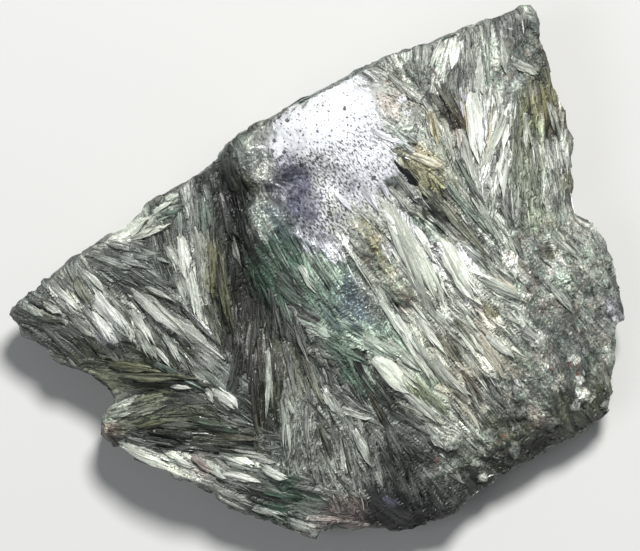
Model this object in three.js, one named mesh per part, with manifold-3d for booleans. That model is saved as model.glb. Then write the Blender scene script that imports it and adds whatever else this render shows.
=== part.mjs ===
// A hand specimen of serpentinite: one broken piece of rock, lying on a flat break, with fans of
// flat serpentine blades standing out of its upper face. Millimetres, +Z up, origin under its middle.
import * as THREE from "three";
import { mergeVertices } from "three/addons/utils/BufferGeometryUtils.js";
import { ConvexGeometry } from "three/addons/geometries/ConvexGeometry.js";
import Module from "manifold-3d";

const wasm = await Module();
wasm.setup();

// Driving dimensions
const pieceLength = 94; // along X, tip to tip
const pieceWidth = 81; // along Y
const tallestGround = 32; // clears every crest
const cellSize = 1.9; // spacing of the points on the upper face
const bladeHeight = 0.5; // of a blade's crest over its sides, as a share of its width
const bladeKeel = 1.6; // depth of a blade's buried underside
const rootSink = 0.3; // of a blade's root under the ground
const tipLift = 0.45; // of a blade's tip over the ground
const backLift = 0.2; // least height of the middle of a blade's back over the ground

// The rim, anticlockwise seen from above: x, y, height of the crest, and how steeply the upper
// face may climb inwards from it.
const rim = [
  // left tip and the bevel under it
  [-47, -5.5, 13, 0.5], [-45, -9, 12, 0.5], [-41.5, -11, 11.5, 0.6], [-39.5, -13.5, 11, 0.7],
  [-36.5, -14, 11, 0.7], [-33.5, -16, 11.5, 0.5], [-31.5, -17.5, 12, 0.4],
  // notch and rounded nub
  [-30.5, -20, 12.5, 0.6], [-32.5, -22, 11.5, 0.9], [-33, -23.5, 11.5, 0.9], [-32.5, -25, 11.5, 0.7],
  // bright ridge and lower tip
  [-30, -26.5, 12.5, 0.9], [-25.5, -29, 13, 1], [-18, -32, 13, 0.8], [-15.5, -33.5, 12, 0.4],
  [-14.5, -35, 11.5, 0.4], [-9, -37, 11, 0.5], [-4, -38.5, 10.5, 0.7], [-0.5, -40.5, 10, 0.8],
  // low shelf under the overhang
  [0.5, -39.5, 9.5, 0.5], [1.5, -38.5, 8, 0.9], [6.5, -38.5, 7.5, 1.1], [12.5, -39, 7.5, 1.3],
  [17, -38, 8, 1.6], [19.5, -36.5, 10, 1.6], [21.5, -35.5, 11, 1.5], [22.5, -34, 9.5, 0.4],
  // lower right flank
  [24, -33, 9, 0.5], [26, -32, 9, 0.6], [26.5, -31, 9, 1], [28.5, -30, 8.5, 1.2], [32, -28, 8, 1.5],
  [37, -25.5, 8, 1.5], [40, -24.5, 8, 1.2], [43, -22, 8.5, 1.1], [44.5, -20.5, 9, 1.1],
  // right side
  [45, -17.5, 9, 0.9], [44.5, -14.5, 9.5, 0.8], [45, -10.5, 9.5, 0.8], [45.5, -7.5, 9.5, 0.8],
  [47, -7, 9, 0.6], [47, -5.5, 9, 0.6], [46, -2.5, 9.5, 0.8], [45, 1, 10, 0.9], [44, 5.5, 11, 0.9],
  [42, 8, 12, 0.9], [40, 8.5, 13, 0.9], [38, 10.5, 14.5, 0.8], [38, 14.5, 15.5, 0.6],
  [38.5, 20.5, 16, 0.5], [37.5, 25, 17, 0.5], [35, 29.5, 18.5, 0.5], [33.5, 34.5, 20, 0.4],
  // upper corner, then the two long joint faces back to the left tip
  [33, 38, 20.5, 0.4], [31.5, 40.5, 20.5, 0.4], [29.5, 39.5, 21, 0.4], [24, 37.5, 23.5, 0.5],
  [16.5, 34.5, 26, 0.4], [10.5, 33, 27, 0.4], [3.5, 29, 28, 0.5], [-4, 25, 28, 0.5],
  [-8.5, 22.5, 27.5, 0.4], [-11, 20, 26, 0.4], [-17, 16, 24, 0.4], [-20.5, 13, 23, 0.4],
  [-24, 10.5, 22, 0.4], [-27, 9, 21.5, 0.4], [-30, 6.5, 20.5, 0.5], [-33, 5, 19.5, 0.5],
  [-38.5, 1, 17.5, 0.4], [-44.5, -3.5, 14.5, 0.4],
];

// The landforms of the upper face. Each is a spine of x, y, height and half width, and the ground
// falls away beside it.
const landforms = {
  leftPlate: {
    fall: 1,
    spine: [[-41, -4, 15.5, 3], [-32.5, -1.5, 19.2, 6], [-25, -3, 21.2, 5.2], [-17, -10, 21.5, 3]],
  },
  standingVane: { fall: 0.9, spine: [[-19, 10.5, 23.2, 3.5], [-17.5, -5.5, 21.6, 2.8]] },
  centreFan: {
    fall: 0.5,
    spine: [[-13, 14, 20.5, 2.5], [-11, -2.5, 19.2, 3.5], [-5.5, -19, 19.8, 8], [2.5, -27.5, 17.8, 7]],
  },
  dome: { fall: 1.3, spine: [[-8, 17.5, 28, 2.5], [2, 22, 30.5, 4.5], [10, 17.5, 29.8, 6]] },
  shoulder: { fall: 1.1, spine: [[3.5, 8.5, 29, 5], [12.5, -2.5, 27.5, 6.5], [17.5, -15.5, 25.3, 5]] },
  greenRim: {
    fall: 1.2,
    spine: [[-6.5, 8, 26.6, 2], [-1, -3, 25.6, 2.5], [5.5, -8.5, 25.3, 2.5], [13, -15, 25, 2]],
  },
  rightCrest: {
    fall: 0.6,
    spine: [[23, 22, 26, 4], [26, 4, 25, 6], [24.5, -13, 24, 6], [23.5, -20, 22.5, 4]],
  },
  cornerCrest: { fall: 0.7, spine: [[18.5, 31, 26.5, 4], [29.5, 36, 22.5, 4]] },
  cornerSlope: { fall: 0.7, spine: [[32, 31, 20.8, 4], [34, 14.5, 18, 3.5]] },
  rightMass: { fall: 0.7, spine: [[33.5, 7.5, 18.5, 5], [38.5, -7, 15.5, 4], [36.5, -18, 15, 4]] },
  lowerFlank: { fall: 1, spine: [[27.5, -22.5, 18.5, 3], [35, -19.5, 16, 3]] },
  herringbone: { fall: 0.8, spine: [[-31, -16, 13, 1], [-17, -15.5, 17.5, 2.5]] },
  nub: { fall: 0.9, spine: [[-31.5, -23, 13.5, 1], [-23, -21, 15.6, 1.6], [-12.5, -21.5, 17.3, 3]] },
  brightRidge: {
    fall: 1.2,
    spine: [[-29, -26.5, 14.2, 0.7], [-17.5, -29.5, 16.7, 1.6], [-5, -30, 17, 1.4]],
  },
  greenFacet: { fall: 0.5, spine: [[-14, -34, 12.8, 0.6], [-2, -36.5, 12.2, 2.2]] },
  overhang: { fall: 1.3, spine: [[4, -32, 15, 2.5], [15, -30.5, 15.6, 2.5], [20.5, -28.5, 16.8, 1.8]] },
  pinkLump: { fall: 0.8, spine: [[2, -36, 10.6, 1.2], [8, -35.5, 10.4, 1.4]] },
};

// The flat breaks of the sides and of the edge round the bed face: the heading in degrees from +X
// that each faces, the height where it leaves the rim's furthest point, and its lean in below that.
const breaks = [
  [125, 18, 3], [131, 11, 11], [120, 8, 21], [127, 4, 38], [114, 24, 4], [109, 13, 13],
  [103, 6, 30], [76, 17, 12], [52, 18, 15], [30, 12, 20], [14, 9, 24], [2, 5, 33], [-12, 7, 20],
  [-27, 6.5, 27], [-38, 3.5, 42], [-51, 7, 30], [-64, 5, 38], [-79, 6.5, 24], [-93, 4.5, 36],
  [-110, 7, 22], [-118, 8.5, 29], [-129, 6, 24], [-143, 9, 17], [-166, 8, 27], [168, 10, 25],
];

// The blades that stand out, by the fan they belong to: root x and y, tip x and y, width.
const blades = {
  leftFan: [
    [-40.5, -1, -35.5, -6, 1.4], [-37.5, -5.5, -33.5, -9.5, 1.4], [-33.5, -2, -28, -9.5, 2.7],
    [-34, -5.5, -30, -11, 1.6], [-28, -5, -24.5, -10.5, 1.3], [-27.5, -8, -24.5, -13, 1.5],
    [-28.5, -2, -20.5, -9, 1.5], [-22, -7, -13.5, -13, 1.5], [-26.5, -1, -19, -4.5, 1.2],
    [-33.5, 3, -28, 1, 1.2], [-44, -2.5, -41, -4.5, 1.8], [-36, 0.5, -33.5, -5, 1.8],
    [-25, -3.5, -16.5, -10.5, 1.9], [-20.5, -4.5, -14.5, -11, 1.8],
  ],
  standingVane: [
    [-20, 8, -19, 1.5, 1.9], [-19.5, 2.5, -18, -5, 1.5], [-18, 7.5, -16.5, -3.5, 1.3],
    [-16, 5.5, -15.5, -3.5, 1.2], [-22, 4.5, -20.5, 0, 1.3], [-15, 3.5, -13, -8.5, 1.3],
    [-14.5, 12.5, -12, 5, 1.5],
  ],
  centreFan: [
    [-7, -2, -6, -10.5, 1.2], [-4, -5, -1, -13, 1.2], [-8.5, -8, -8, -18.5, 1.3],
    [-7.5, -10.5, -6.5, -21.5, 1.3], [-2.5, -11.5, 1, -20.5, 1.2], [-4.5, -18.5, -4.5, -29, 1.9],
    [-2, -19.5, -1.5, -29.5, 1.8], [2, -25.5, 4, -31, 1.6], [5, -21.5, 8, -29, 1.8],
    [0.5, -16.5, 4, -22, 1.5], [16, -22.5, 19, -26, 1.6], [-9.5, -18, -8.5, -27, 1.3],
  ],
  lowerLeft: [
    [-15.5, -17, -12, -20, 1.8], [-30.5, -15, -17.5, -16, 1.5], [-31.5, -20.5, -27.5, -20.5, 1.6],
    [-19, -21.5, -11.5, -23.5, 1.3],
  ],
  lowerRidge: [
    [-30, -25.5, -22.5, -29, 1.8], [-25, -27.5, -17, -31.5, 1.8], [-19, -27, -15.5, -30.5, 1.5],
    [-15, -26.5, -8, -29, 2.1], [-8.5, -29, -4.5, -30.5, 1.5], [-4.5, -36.5, 0, -39, 1.9],
  ],
  greenRim: [
    [-5.5, 3, -2.5, -2, 1.3], [-3, 5, 4, 2, 1.5], [2, 2, 9.5, -5, 1.3],
    [6.5, -9, 13, -13, 2.1], [8.5, -12, 14, -18, 2.1], [12, -17, 19, -23, 1.3],
    [13.5, -14, 20, -21.5, 2.1],
  ],
  rightFeathers: [
    [3.5, 9, 11.5, 1.5, 1.6], [6, 4.5, 14.5, -4.5, 2.4], [10, 10.5, 18.5, -4, 2.9],
    [12, 3, 18.5, -5.5, 1.8], [15, 8, 23, -2.5, 1.6], [20, 3.5, 25, -4.5, 2.1],
    [11.5, 19, 18.5, 16, 1.8], [16, 12.5, 25.5, 2, 1.3], [18, 14, 27, 3.5, 1.3],
    [16.5, -8, 22.5, -19, 1.9], [24, -0.5, 31, -4, 1.5], [22.5, -11, 27, -15.5, 2.4],
    [16.5, -12.5, 23, -18.5, 1.5], [11.5, -5, 18.5, -14.5, 1.6], [24, -16.5, 30, -20.5, 1.5],
  ],
  cornerVane: [
    [21.5, 36.5, 20, 30.5, 1.3], [27, 35.5, 28, 30, 1.3], [23.5, 26.5, 24, 17, 2.7],
    [26.5, 26.5, 25.5, 20.5, 1.5], [35, 19.5, 35.5, 11, 1.8], [8.5, 26.5, 14.5, 21.5, 3],
    [16.5, 29, 21.5, 21.5, 1.5], [28.5, 32, 33, 29.5, 1.5], [32.5, 27, 34, 12.5, 1.9],
    [29.5, 23.5, 30.5, 12.5, 1.6],
  ],
};

// A repeatable number from 0 to 1 for a point of a whole-numbered grid.
function grain(i, j, k = 0) {
  const s = Math.sin(i * 127.1 + j * 311.7 + k * 74.7) * 43758.5453;
  return s - Math.floor(s);
}

// Smooth noise from -1 to 1.
function noise(x, y, k) {
  const i = Math.floor(x);
  const j = Math.floor(y);
  const u = THREE.MathUtils.smoothstep(x - i, 0, 1);
  const v = THREE.MathUtils.smoothstep(y - j, 0, 1);
  const near = THREE.MathUtils.lerp(grain(i, j, k), grain(i + 1, j, k), u);
  const far = THREE.MathUtils.lerp(grain(i, j + 1, k), grain(i + 1, j + 1, k), u);
  return 2 * THREE.MathUtils.lerp(near, far, v) - 1;
}

// The nearest point of the line from a to b: its distance from x, y and its share of the line.
function alongLine(x, y, a, b) {
  const dx = b[0] - a[0];
  const dy = b[1] - a[1];
  const t = THREE.MathUtils.clamp(((x - a[0]) * dx + (y - a[1]) * dy) / (dx * dx + dy * dy), 0, 1);
  return { t, distance: Math.hypot(x - a[0] - dx * t, y - a[1] - dy * t) };
}

function landformHeight({ spine, fall }, x, y) {
  let height = 0;
  for (let i = 0; i + 1 < spine.length; i++) {
    const [a, b] = [spine[i], spine[i + 1]];
    const { t, distance } = alongLine(x, y, a, b);
    const level = THREE.MathUtils.lerp(a[2], b[2], t);
    const halfWidth = THREE.MathUtils.lerp(a[3], b[3], t);
    height = Math.max(height, level - fall * Math.max(0, distance - halfWidth));
  }
  return height;
}

function rimHeight(x, y) {
  let height = tallestGround;
  rim.forEach((a, i) => {
    const b = rim[(i + 1) % rim.length];
    const { t, distance } = alongLine(x, y, a, b);
    const climb = THREE.MathUtils.lerp(a[3], b[3], t);
    height = Math.min(height, THREE.MathUtils.lerp(a[2], b[2], t) + climb * distance);
  });
  return height;
}

// Height of the upper face: the tallest landform, held down near the rim, with lumps on it. The
// right of the piece is coarse grained and lumpier.
function groundHeight(x, y) {
  const lowestGround = 9;
  const heights = Object.values(landforms).map((form) => landformHeight(form, x, y));
  const coarse = THREE.MathUtils.smoothstep(x, 22, 34);
  const lumps = (0.45 + 0.3 * coarse) * noise(x / 4.5, y / 4.5, 1);
  const grains = (0.25 + 0.3 * coarse) * noise(x / 2.3, y / 2.3, 2);
  return Math.min(Math.max(lowestGround, ...heights), rimHeight(x, y)) + lumps + grains;
}

// A closed geometry as a manifold solid.
function solid(geometry) {
  const bare = geometry.clone();
  bare.deleteAttribute("normal");
  bare.deleteAttribute("uv");
  const merged = mergeVertices(bare, 1e-4);
  return new wasm.Manifold(
    new wasm.Mesh({
      numProp: 3,
      vertProperties: new Float32Array(merged.attributes.position.array),
      triVerts: new Uint32Array(merged.index.array),
    }),
  );
}

function geometryOf(manifold) {
  const mesh = manifold.getMesh();
  const geometry = new THREE.BufferGeometry();
  geometry.setAttribute("position", new THREE.BufferAttribute(mesh.vertProperties, mesh.numProp));
  geometry.setIndex(new THREE.BufferAttribute(mesh.triVerts, 1));
  geometry.computeVertexNormals();
  return geometry;
}

// The broken sides: the rim carried down to the bed face that the piece lies on, a little uneven
// from step to step, with the flat breaks cut from it.
function sides() {
  const steps = [0, 3.5, 7, 11, 16, 22, tallestGround];
  const roughness = 0.012; // of the distance from the middle
  const count = rim.length;
  const points = [];
  steps.forEach((z, k) => {
    rim.forEach(([x, y], i) => {
      const scale = 1 - roughness * grain(i, k);
      points.push(x * scale, y * scale, z);
    });
  });
  const index = [];
  for (let k = 0; k + 1 < steps.length; k++) {
    for (let i = 0; i < count; i++) {
      const a = k * count + i;
      const b = k * count + ((i + 1) % count);
      index.push(a, b, a + count, b, b + count, a + count);
    }
  }
  const ends = THREE.ShapeUtils.triangulateShape(rim.map(([x, y]) => new THREE.Vector2(x, y)), []);
  const top = (steps.length - 1) * count;
  for (const [a, b, c] of ends) {
    index.push(a, c, b, top + a, top + b, top + c);
  }
  const geometry = new THREE.BufferGeometry();
  geometry.setAttribute("position", new THREE.Float32BufferAttribute(points, 3));
  geometry.setIndex(index);
  return breaks.reduce((piece, row) => piece.subtract(flatBreak(row)), solid(geometry));
}

// What one flat break takes away, as a block that lies against it.
function flatBreak([heading, height, lean]) {
  const turn = THREE.MathUtils.degToRad(heading);
  const reach = Math.max(...rim.map(([x, y]) => x * Math.cos(turn) + y * Math.sin(turn)));
  const block = new THREE.BoxGeometry(pieceLength, 2 * pieceLength, 2 * pieceLength);
  block.translate(pieceLength / 2, 0, 0);
  block.rotateY(THREE.MathUtils.degToRad(lean));
  block.translate(reach, 0, height);
  block.rotateZ(turn);
  return solid(block);
}

// Everything under the upper face, as a block whose top follows the ground.
function ground() {
  const columns = Math.round(pieceLength / cellSize) + 2;
  const rows = Math.round(pieceWidth / cellSize) + 2;
  const block = new THREE.BoxGeometry(columns * cellSize, rows * cellSize, 2, columns, rows, 1);
  const position = block.attributes.position;
  for (let i = 0; i < position.count; i++) {
    const isTop = position.getZ(i) > 0;
    position.setZ(i, isTop ? groundHeight(position.getX(i), position.getY(i)) : -1);
  }
  return solid(block);
}

// One blade: a long flat crystal with a crest along it, its root buried and its tip standing clear.
function blade([rootX, rootY, tipX, tipY, width], number) {
  const run = new THREE.Vector2(tipX - rootX, tipY - rootY);
  const along = run.clone().normalize();
  const across = new THREE.Vector2(-along.y, along.x);
  const heightAt = (share) => groundHeight(rootX + run.x * share, rootY + run.y * share);
  const rootHeight = heightAt(0) - rootSink;
  const tipHeight = heightAt(1) + tipLift;
  const middleHeight = Math.max((rootHeight + tipHeight) / 2, heightAt(0.5) + backLift);
  const levelAt = (share) =>
    share < 0.5
      ? THREE.MathUtils.lerp(rootHeight, middleHeight, 2 * share)
      : THREE.MathUtils.lerp(middleHeight, tipHeight, 2 * share - 1);
  const lean = (grain(number, 5) - 0.5) * 0.5; // how far the crest sits to one side
  const crest = width * bladeHeight;
  const point = (share, side, rise) =>
    new THREE.Vector3(
      rootX + run.x * share + across.x * side,
      rootY + run.y * share + across.y * side,
      levelAt(share) + rise,
    );
  const half = width / 2;
  return solid(
    new ConvexGeometry([
      point(0, 0, 0),
      point(0.14, half * 0.8, -0.1),
      point(0.14, -half * 0.8, -0.1),
      point(0.12, lean * width, crest * 0.7),
      point(0.72, half, 0),
      point(0.78, -half, 0),
      point(0.8, lean * width, crest),
      point(0.97, half * 0.35, 0),
      point(1, -half * 0.15, crest * 0.2),
      point(0.1, 0, -bladeKeel),
      point(0.86, 0, -bladeKeel),
    ]),
  );
}

function rock() {
  let piece = sides().intersect(ground());
  let number = 0;
  for (const fan of Object.values(blades)) {
    for (const row of fan) {
      number += 1;
      piece = piece.add(blade(row, number));
    }
  }
  return piece;
}

const stone = new THREE.MeshStandardMaterial({ color: 0x6f7a68, roughness: 0.55, metalness: 0 });
const serpentinite = new THREE.Mesh(geometryOf(rock()), stone);
serpentinite.name = "serpentinite";

const part = new THREE.Group();
part.add(serpentinite);
export default part;
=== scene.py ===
# A hand specimen of bladed serpentinite: the stone with its fine relief, and the blades and grit that
# grow out of it. Metres, +Z up; plans are given in millimetres, as the stone's own sizes are.
import math

import bmesh
import bpy
import numpy as np
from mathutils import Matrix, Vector
from mathutils.bvhtree import BVHTree
from mathutils.kdtree import KDTree


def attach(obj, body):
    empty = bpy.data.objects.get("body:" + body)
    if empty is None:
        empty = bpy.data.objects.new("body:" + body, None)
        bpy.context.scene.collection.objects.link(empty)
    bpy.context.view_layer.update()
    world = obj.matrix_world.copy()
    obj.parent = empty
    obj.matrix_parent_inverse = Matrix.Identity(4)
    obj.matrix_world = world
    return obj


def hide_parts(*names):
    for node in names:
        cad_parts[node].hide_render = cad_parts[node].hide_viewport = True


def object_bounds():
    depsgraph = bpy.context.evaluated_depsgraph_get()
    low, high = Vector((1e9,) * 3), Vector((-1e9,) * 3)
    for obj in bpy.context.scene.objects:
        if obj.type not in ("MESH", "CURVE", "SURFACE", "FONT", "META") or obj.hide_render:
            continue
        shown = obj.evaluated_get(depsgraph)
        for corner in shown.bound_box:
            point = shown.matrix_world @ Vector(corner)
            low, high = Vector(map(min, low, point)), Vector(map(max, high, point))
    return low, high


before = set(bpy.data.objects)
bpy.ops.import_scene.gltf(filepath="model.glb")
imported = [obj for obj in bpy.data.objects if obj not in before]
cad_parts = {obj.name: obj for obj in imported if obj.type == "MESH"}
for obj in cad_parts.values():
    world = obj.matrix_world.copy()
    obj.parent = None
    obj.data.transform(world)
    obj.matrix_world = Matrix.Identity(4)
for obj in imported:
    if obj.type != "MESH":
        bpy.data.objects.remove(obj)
cadLow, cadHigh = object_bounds()
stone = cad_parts["serpentinite"]
mm = 0.001

# finishes, as display colours from 0 to 255
tones = {
    "ice": (224, 226, 232), "frost": (214, 220, 206), "silver": (204, 208, 199),
    "pale": (165, 171, 161), "grey": (123, 127, 121), "slate": (87, 92, 88), "moss": (70, 74, 60),
    "olive": (112, 112, 86), "sage": (130, 137, 122), "steel": (94, 105, 111),
    "green": (66, 90, 74), "teal": (85, 98, 100), "mint": (160, 182, 163),
    "brown": (96, 87, 70), "umber": (57, 55, 48), "dark": (40, 43, 40), "black": (17, 19, 19),
    "lavender": (158, 158, 168), "violet": (104, 106, 122), "pink": (159, 147, 140),
    "blush": (190, 181, 172), "cream": (200, 197, 180), "lime": (140, 148, 119),
    "gold": (172, 166, 138), "rust": (117, 95, 79),
}


def paint(name):
    # a finish as linear colour
    shown = np.array(tones[name], float) / 255
    return np.where(shown <= 0.04045, shown / 12.92, ((shown + 0.055) / 1.055) ** 2.4)


# Blades that stand out, by fan and finish: root x, y, tip x, y and width in mm. So many lesser blades
# (vane) and slivers of each fan are scattered between them.
# the silver, frost, ice and pale blades are lighter than the olive, grey and dark ones partly by their
# colour and partly by painted satin sheen
fans = {
    "leftFan": {
        "vane": 60, "sliver": 130,
        "leads": {
            "silver": [
                (-40.5, -1, -35.5, -6, 1.3), (-35.5, 1, -32, -2.5, 1.1),
                (-33.8, -2.6, -28.2, -10.2, 2.6), (-34, -5.5, -30.5, -11, 1.6),
                (-28, -5, -24.5, -11, 1.3), (-28.5, -2, -20.5, -9, 1.5), (-22.4, -6.4, -14, -12.8, 1.6),
                (-25, -10.5, -22, -14, 0.8),
            ],
            "frost": [(-31.2, 5.4, -25, 8.4, 2)],
            "pale": [
                (-26, -1.5, -20.8, -4.6, 1), (-38, -5.5, -33.5, -9.5, 1.3), (-32, -4, -29.5, -9, 1.1),
                (-27.5, -8, -24.5, -13, 1.5), (-23.5, -8.5, -20.5, -13.5, 0.9),
                (-41.5, -4, -38.5, -6, 1.2), (-44, -4.5, -41, -6.4, 1.2),
            ],
            "grey": [(-34, 3, -28, 1, 1.2), (-32.5, 5, -28, 3.5, 1)],
            "olive": [
                (-36.5, 0, -34, -5, 1.6), (-25, -4, -17.6, -11.5, 1.9), (-43, -5.5, -38.5, -7, 1.3),
            ],
            "slate": [(-31, 1, -26, -2, 1.3), (-20.5, -4.5, -14.5, -11, 1.2)],
        },
    },
    "standingVane": {
        "vane": 30, "sliver": 100,
        "leads": {
            "silver": [(-20.6, 5.8, -19.4, -0.5, 1.8), (-19.3, 0.5, -17.8, -7.6, 1.5)],
            "grey": [(-18.5, 7.5, -17, -4, 1.3)],
            "pale": [(-22.5, 4.5, -20.5, 0, 1.3), (-13, 6, -11.5, 1, 0.9)],
            "olive": [
                (-16, 5.5, -15.5, -4, 1.2), (-15, 4, -13, -8.5, 1.3), (-17, -4, -14.5, -10.5, 1.2),
            ],
            "green": [(-17.5, 12, -16.5, 5.5, 1.3)],
            "dark": [(-14.5, 13, -12.5, 5, 1.5)],
        },
    },
    "centreFan": {
        "vane": 40, "sliver": 200,
        "leads": {
            "grey": [
                (-7, -2, -6, -10.5, 1.2), (-4, -5, -1, -13, 1.2), (-2, -19.5, -1.5, -29.5, 1.2),
                (-5, -10, -3, -19, 1.2), (3.5, -23, 5, -30.5, 1.2), (11.5, -20.5, 17.5, -24, 0.9),
            ],
            "pale": [
                (-5.2, -17, -5, -28, 1.6), (5.5, -23, 8, -29, 1.4), (16, -22.5, 19, -26, 1.4),
                (-7.5, -10.5, -7, -22, 1),
            ],
            "brown": [(7, -16, 10.5, -23, 1.2)],
            "olive": [(-2.5, -11.5, 1, -20.5, 1.2), (0, -22, 2, -28, 1.3)],
            "silver": [(3.5, -20, 8, -21.5, 1)],
            "slate": [(0.5, -16.5, 4, -22, 1.5), (5, -12, 9, -18.5, 1.2)],
            "umber": [
                (-8.5, -8, -8, -19, 1.3), (-9.8, -14, -9, -24, 1.2), (-10, -6.5, -11, -16, 1.2),
                (-11.5, -10, -13.5, -18, 1.2),
            ],
        },
    },
    "lowerLeft": {
        "vane": 45, "sliver": 130,
        "leads": {
            "silver": [
                (-17, -17, -15.5, -19, 1.1), (-15.5, -17, -12, -20, 1.8), (-22.5, -16.5, -19, -17, 0.8),
            ],
            "olive": [
                (-30.5, -15, -17.5, -16, 1.5), (-32, -13.5, -23.5, -14.5, 1.3),
                (-27.5, -23, -22, -22, 1.1),
            ],
            "green": [
                (-25, -13, -16.5, -17.5, 1.2), (-18.5, -13.5, -12, -19, 1.2),
                (-19, -22, -11.5, -23.5, 1.3),
            ],
            "sage": [(-32, -21, -27.5, -20.5, 1.6), (-28.5, -21.5, -22.5, -19.5, 1.1)],
            "dark": [
                (-29.5, -24.4, -21.5, -26.4, 1.2), (-24, -25.8, -17, -26.4, 0.9),
                (-26, -24, -19, -25, 1.1), (-25, -22.5, -17.5, -22.5, 1.1), (-25, -25, -8.5, -26, 1.1),
            ],
            "brown": [(-16, -23.5, -8, -25, 1.2)],
        },
    },
    "lowerRidge": {
        "vane": 12, "sliver": 50,
        "leads": {
            "frost": [
                (-30, -25.5, -21.5, -29.6, 1.4), (-26, -27.6, -17.6, -31.2, 1.3),
                (-15, -26.6, -9.5, -28.6, 1.5), (-13.5, -28, -7.5, -29.6, 1.3),
                (-23, -26.6, -19.8, -28.4, 0.9),
            ],
            "silver": [
                (-21.5, -27.7, -18.5, -28.9, 1), (-14.5, -30, -8.5, -31, 1.3),
                (-8.5, -29, -4.5, -30.5, 1.5),
            ],
            "pink": [(-19.3, -27.4, -15.5, -29.8, 1.2)],
            "pale": [
                (-17, -28, -14, -31, 1.2), (-16, -33, -9.5, -36, 1.2), (-10, -35, -5, -37, 1.1),
                (-4.5, -36.9, -1, -38.6, 1.5),
            ],
            "green": [(-8.5, -32.5, -1.5, -34.2, 0.8)],
        },
    },
    "greenRim": {
        "vane": 10, "sliver": 50,
        "leads": {
            "green": [
                (-7.5, 5.5, -4, 0.5, 1.2), (-5.5, 3, -2.5, -2, 1.3), (-1, 3, 2.5, -2.5, 1.3),
                (6.5, -9, 13, -13, 1.8), (1, -9.5, 7.5, -13, 1.5), (-6.5, -1, -1, -5.5, 1.5),
            ],
            "pale": [(-3, 1.5, 0, -2.5, 1.1), (10, -9.5, 15.5, -14.5, 1.3)],
            "silver": [(4, 5, 9, -3, 0.7), (9, -3.5, 13.5, -10, 0.9), (12, -17, 19, -23, 1.5)],
            "frost": [
                (8.4, -12.2, 13.8, -17.6, 2.8), (10.6, -12.6, 15.4, -17, 1.5),
                (13.2, -10.4, 17.5, -16.5, 1.6),
            ],
            "mint": [(-6.9, 5.2, -3.9, 0.6, 0.8), (-2.5, 3.4, -0.4, -1, 0.8)],
            "lime": [(14.5, -15.5, 20, -22, 1.6)],
        },
    },
    "rightFeathers": {
        "vane": 50, "sliver": 220,
        "leads": {
            "brown": [(17.5, -8.5, 20.6, -13, 1), (21, -14, 25, -19, 1)],
            "rust": [(13.2, 19, 17.6, 17.2, 0.5)],
            "cream": [
                (13.8, 17.9, 18.8, 15.6, 1.4), (24, -8.5, 28.5, -15.5, 2.8), (26.5, 0, 31.5, -4, 1.2),
            ],
            "frost": [
                (15.2, -1.5, 18, -7, 1.4), (22, -8.4, 25, -12, 1.2), (10, 10.5, 17.6, -5.4, 2.8),
                (12.2, 8.5, 19, -5, 2.4), (17.8, 5.5, 24.5, -4.5, 3),
            ],
            "ice": [(6.3, 13.4, 9.4, 9.4, 1.2), (2.4, 12.2, 5.2, 9.4, 0.9), (9.2, 13.6, 11, 11, 0.9)],
            "silver": [
                (12, 2, 18, -6, 1.2), (25.2, -8.8, 29.4, -12.6, 1.3), (16.5, -12.5, 23, -18.5, 1.5),
                (13.5, -9, 20, -17.5, 1.3), (11.5, -6, 15.5, -13, 1.6), (14.5, -6, 19.5, -12.5, 1.3),
                (14.2, 7.5, 17.5, 1.5, 1),
            ],
            "sage": [(16, 13, 26, 2, 1.3), (14.6, 10.8, 19, 6, 0.9)],
            "pale": [
                (22, -16, 24.6, -20.4, 1.1), (17.5, 3, 23, -4, 1.2), (22.5, 13, 27, 5, 1.2),
                (15, -3.5, 20.5, -8.5, 1.3), (24, -0.5, 31.5, -4, 1.5), (34, -1, 38.5, -6, 1.6),
                (35, 6, 39, 2, 1.4),
            ],
            "dark": [(11.5, 15, 15, 10.5, 0.9), (10.5, 13.2, 13.5, 9.5, 0.8)],
            "olive": [(20, -6, 24.5, -11.5, 1.3)],
            "green": [(18.5, 14, 27.5, 4, 1.3), (20.5, 17.5, 24.5, 9, 0.9)],
        },
    },
    "cornerVane": {
        "vane": 30, "sliver": 110,
        "leads": {
            "frost": [
                (23, 27.5, 24.3, 16.5, 2.6), (20.6, 34.8, 19.8, 30.5, 1.4), (28, 24, 24.8, 15.5, 1.5),
            ],
            "silver": [
                (24, 33, 24.5, 27, 1.5), (21, 22, 23.2, 14, 1.6), (31, 24.5, 31.6, 18.5, 1.1),
                (35.5, 20, 35.8, 13, 1.8),
            ],
            "pale": [
                (27.5, 35.5, 28, 30, 1.2), (35, 19.5, 36, 11, 1.8), (29, 32, 33, 30, 1.5),
                (18.5, 35, 17, 30.5, 1.3), (34.5, 26, 36.5, 20, 1.3), (10.5, 30, 15.5, 25.2, 1.6),
            ],
            "blush": [(20.8, 21.8, 21.2, 18.5, 0.9)],
            "olive": [(33.5, 28, 34, 20, 1.6), (18.5, 23.5, 20, 17, 1), (17, 29, 21.5, 21.5, 0.6)],
            "gold": [(16.5, 24.5, 18, 19, 1.1), (21.8, 26, 22.3, 20, 0.4), (26.3, 26, 25, 18, 0.4)],
            "sage": [(29.5, 24, 30, 13, 1.6), (32, 20, 32.5, 12, 1.4)],
            "green": [(24.5, 35.5, 25.5, 28.5, 1.3)],
        },
    },
}
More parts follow.
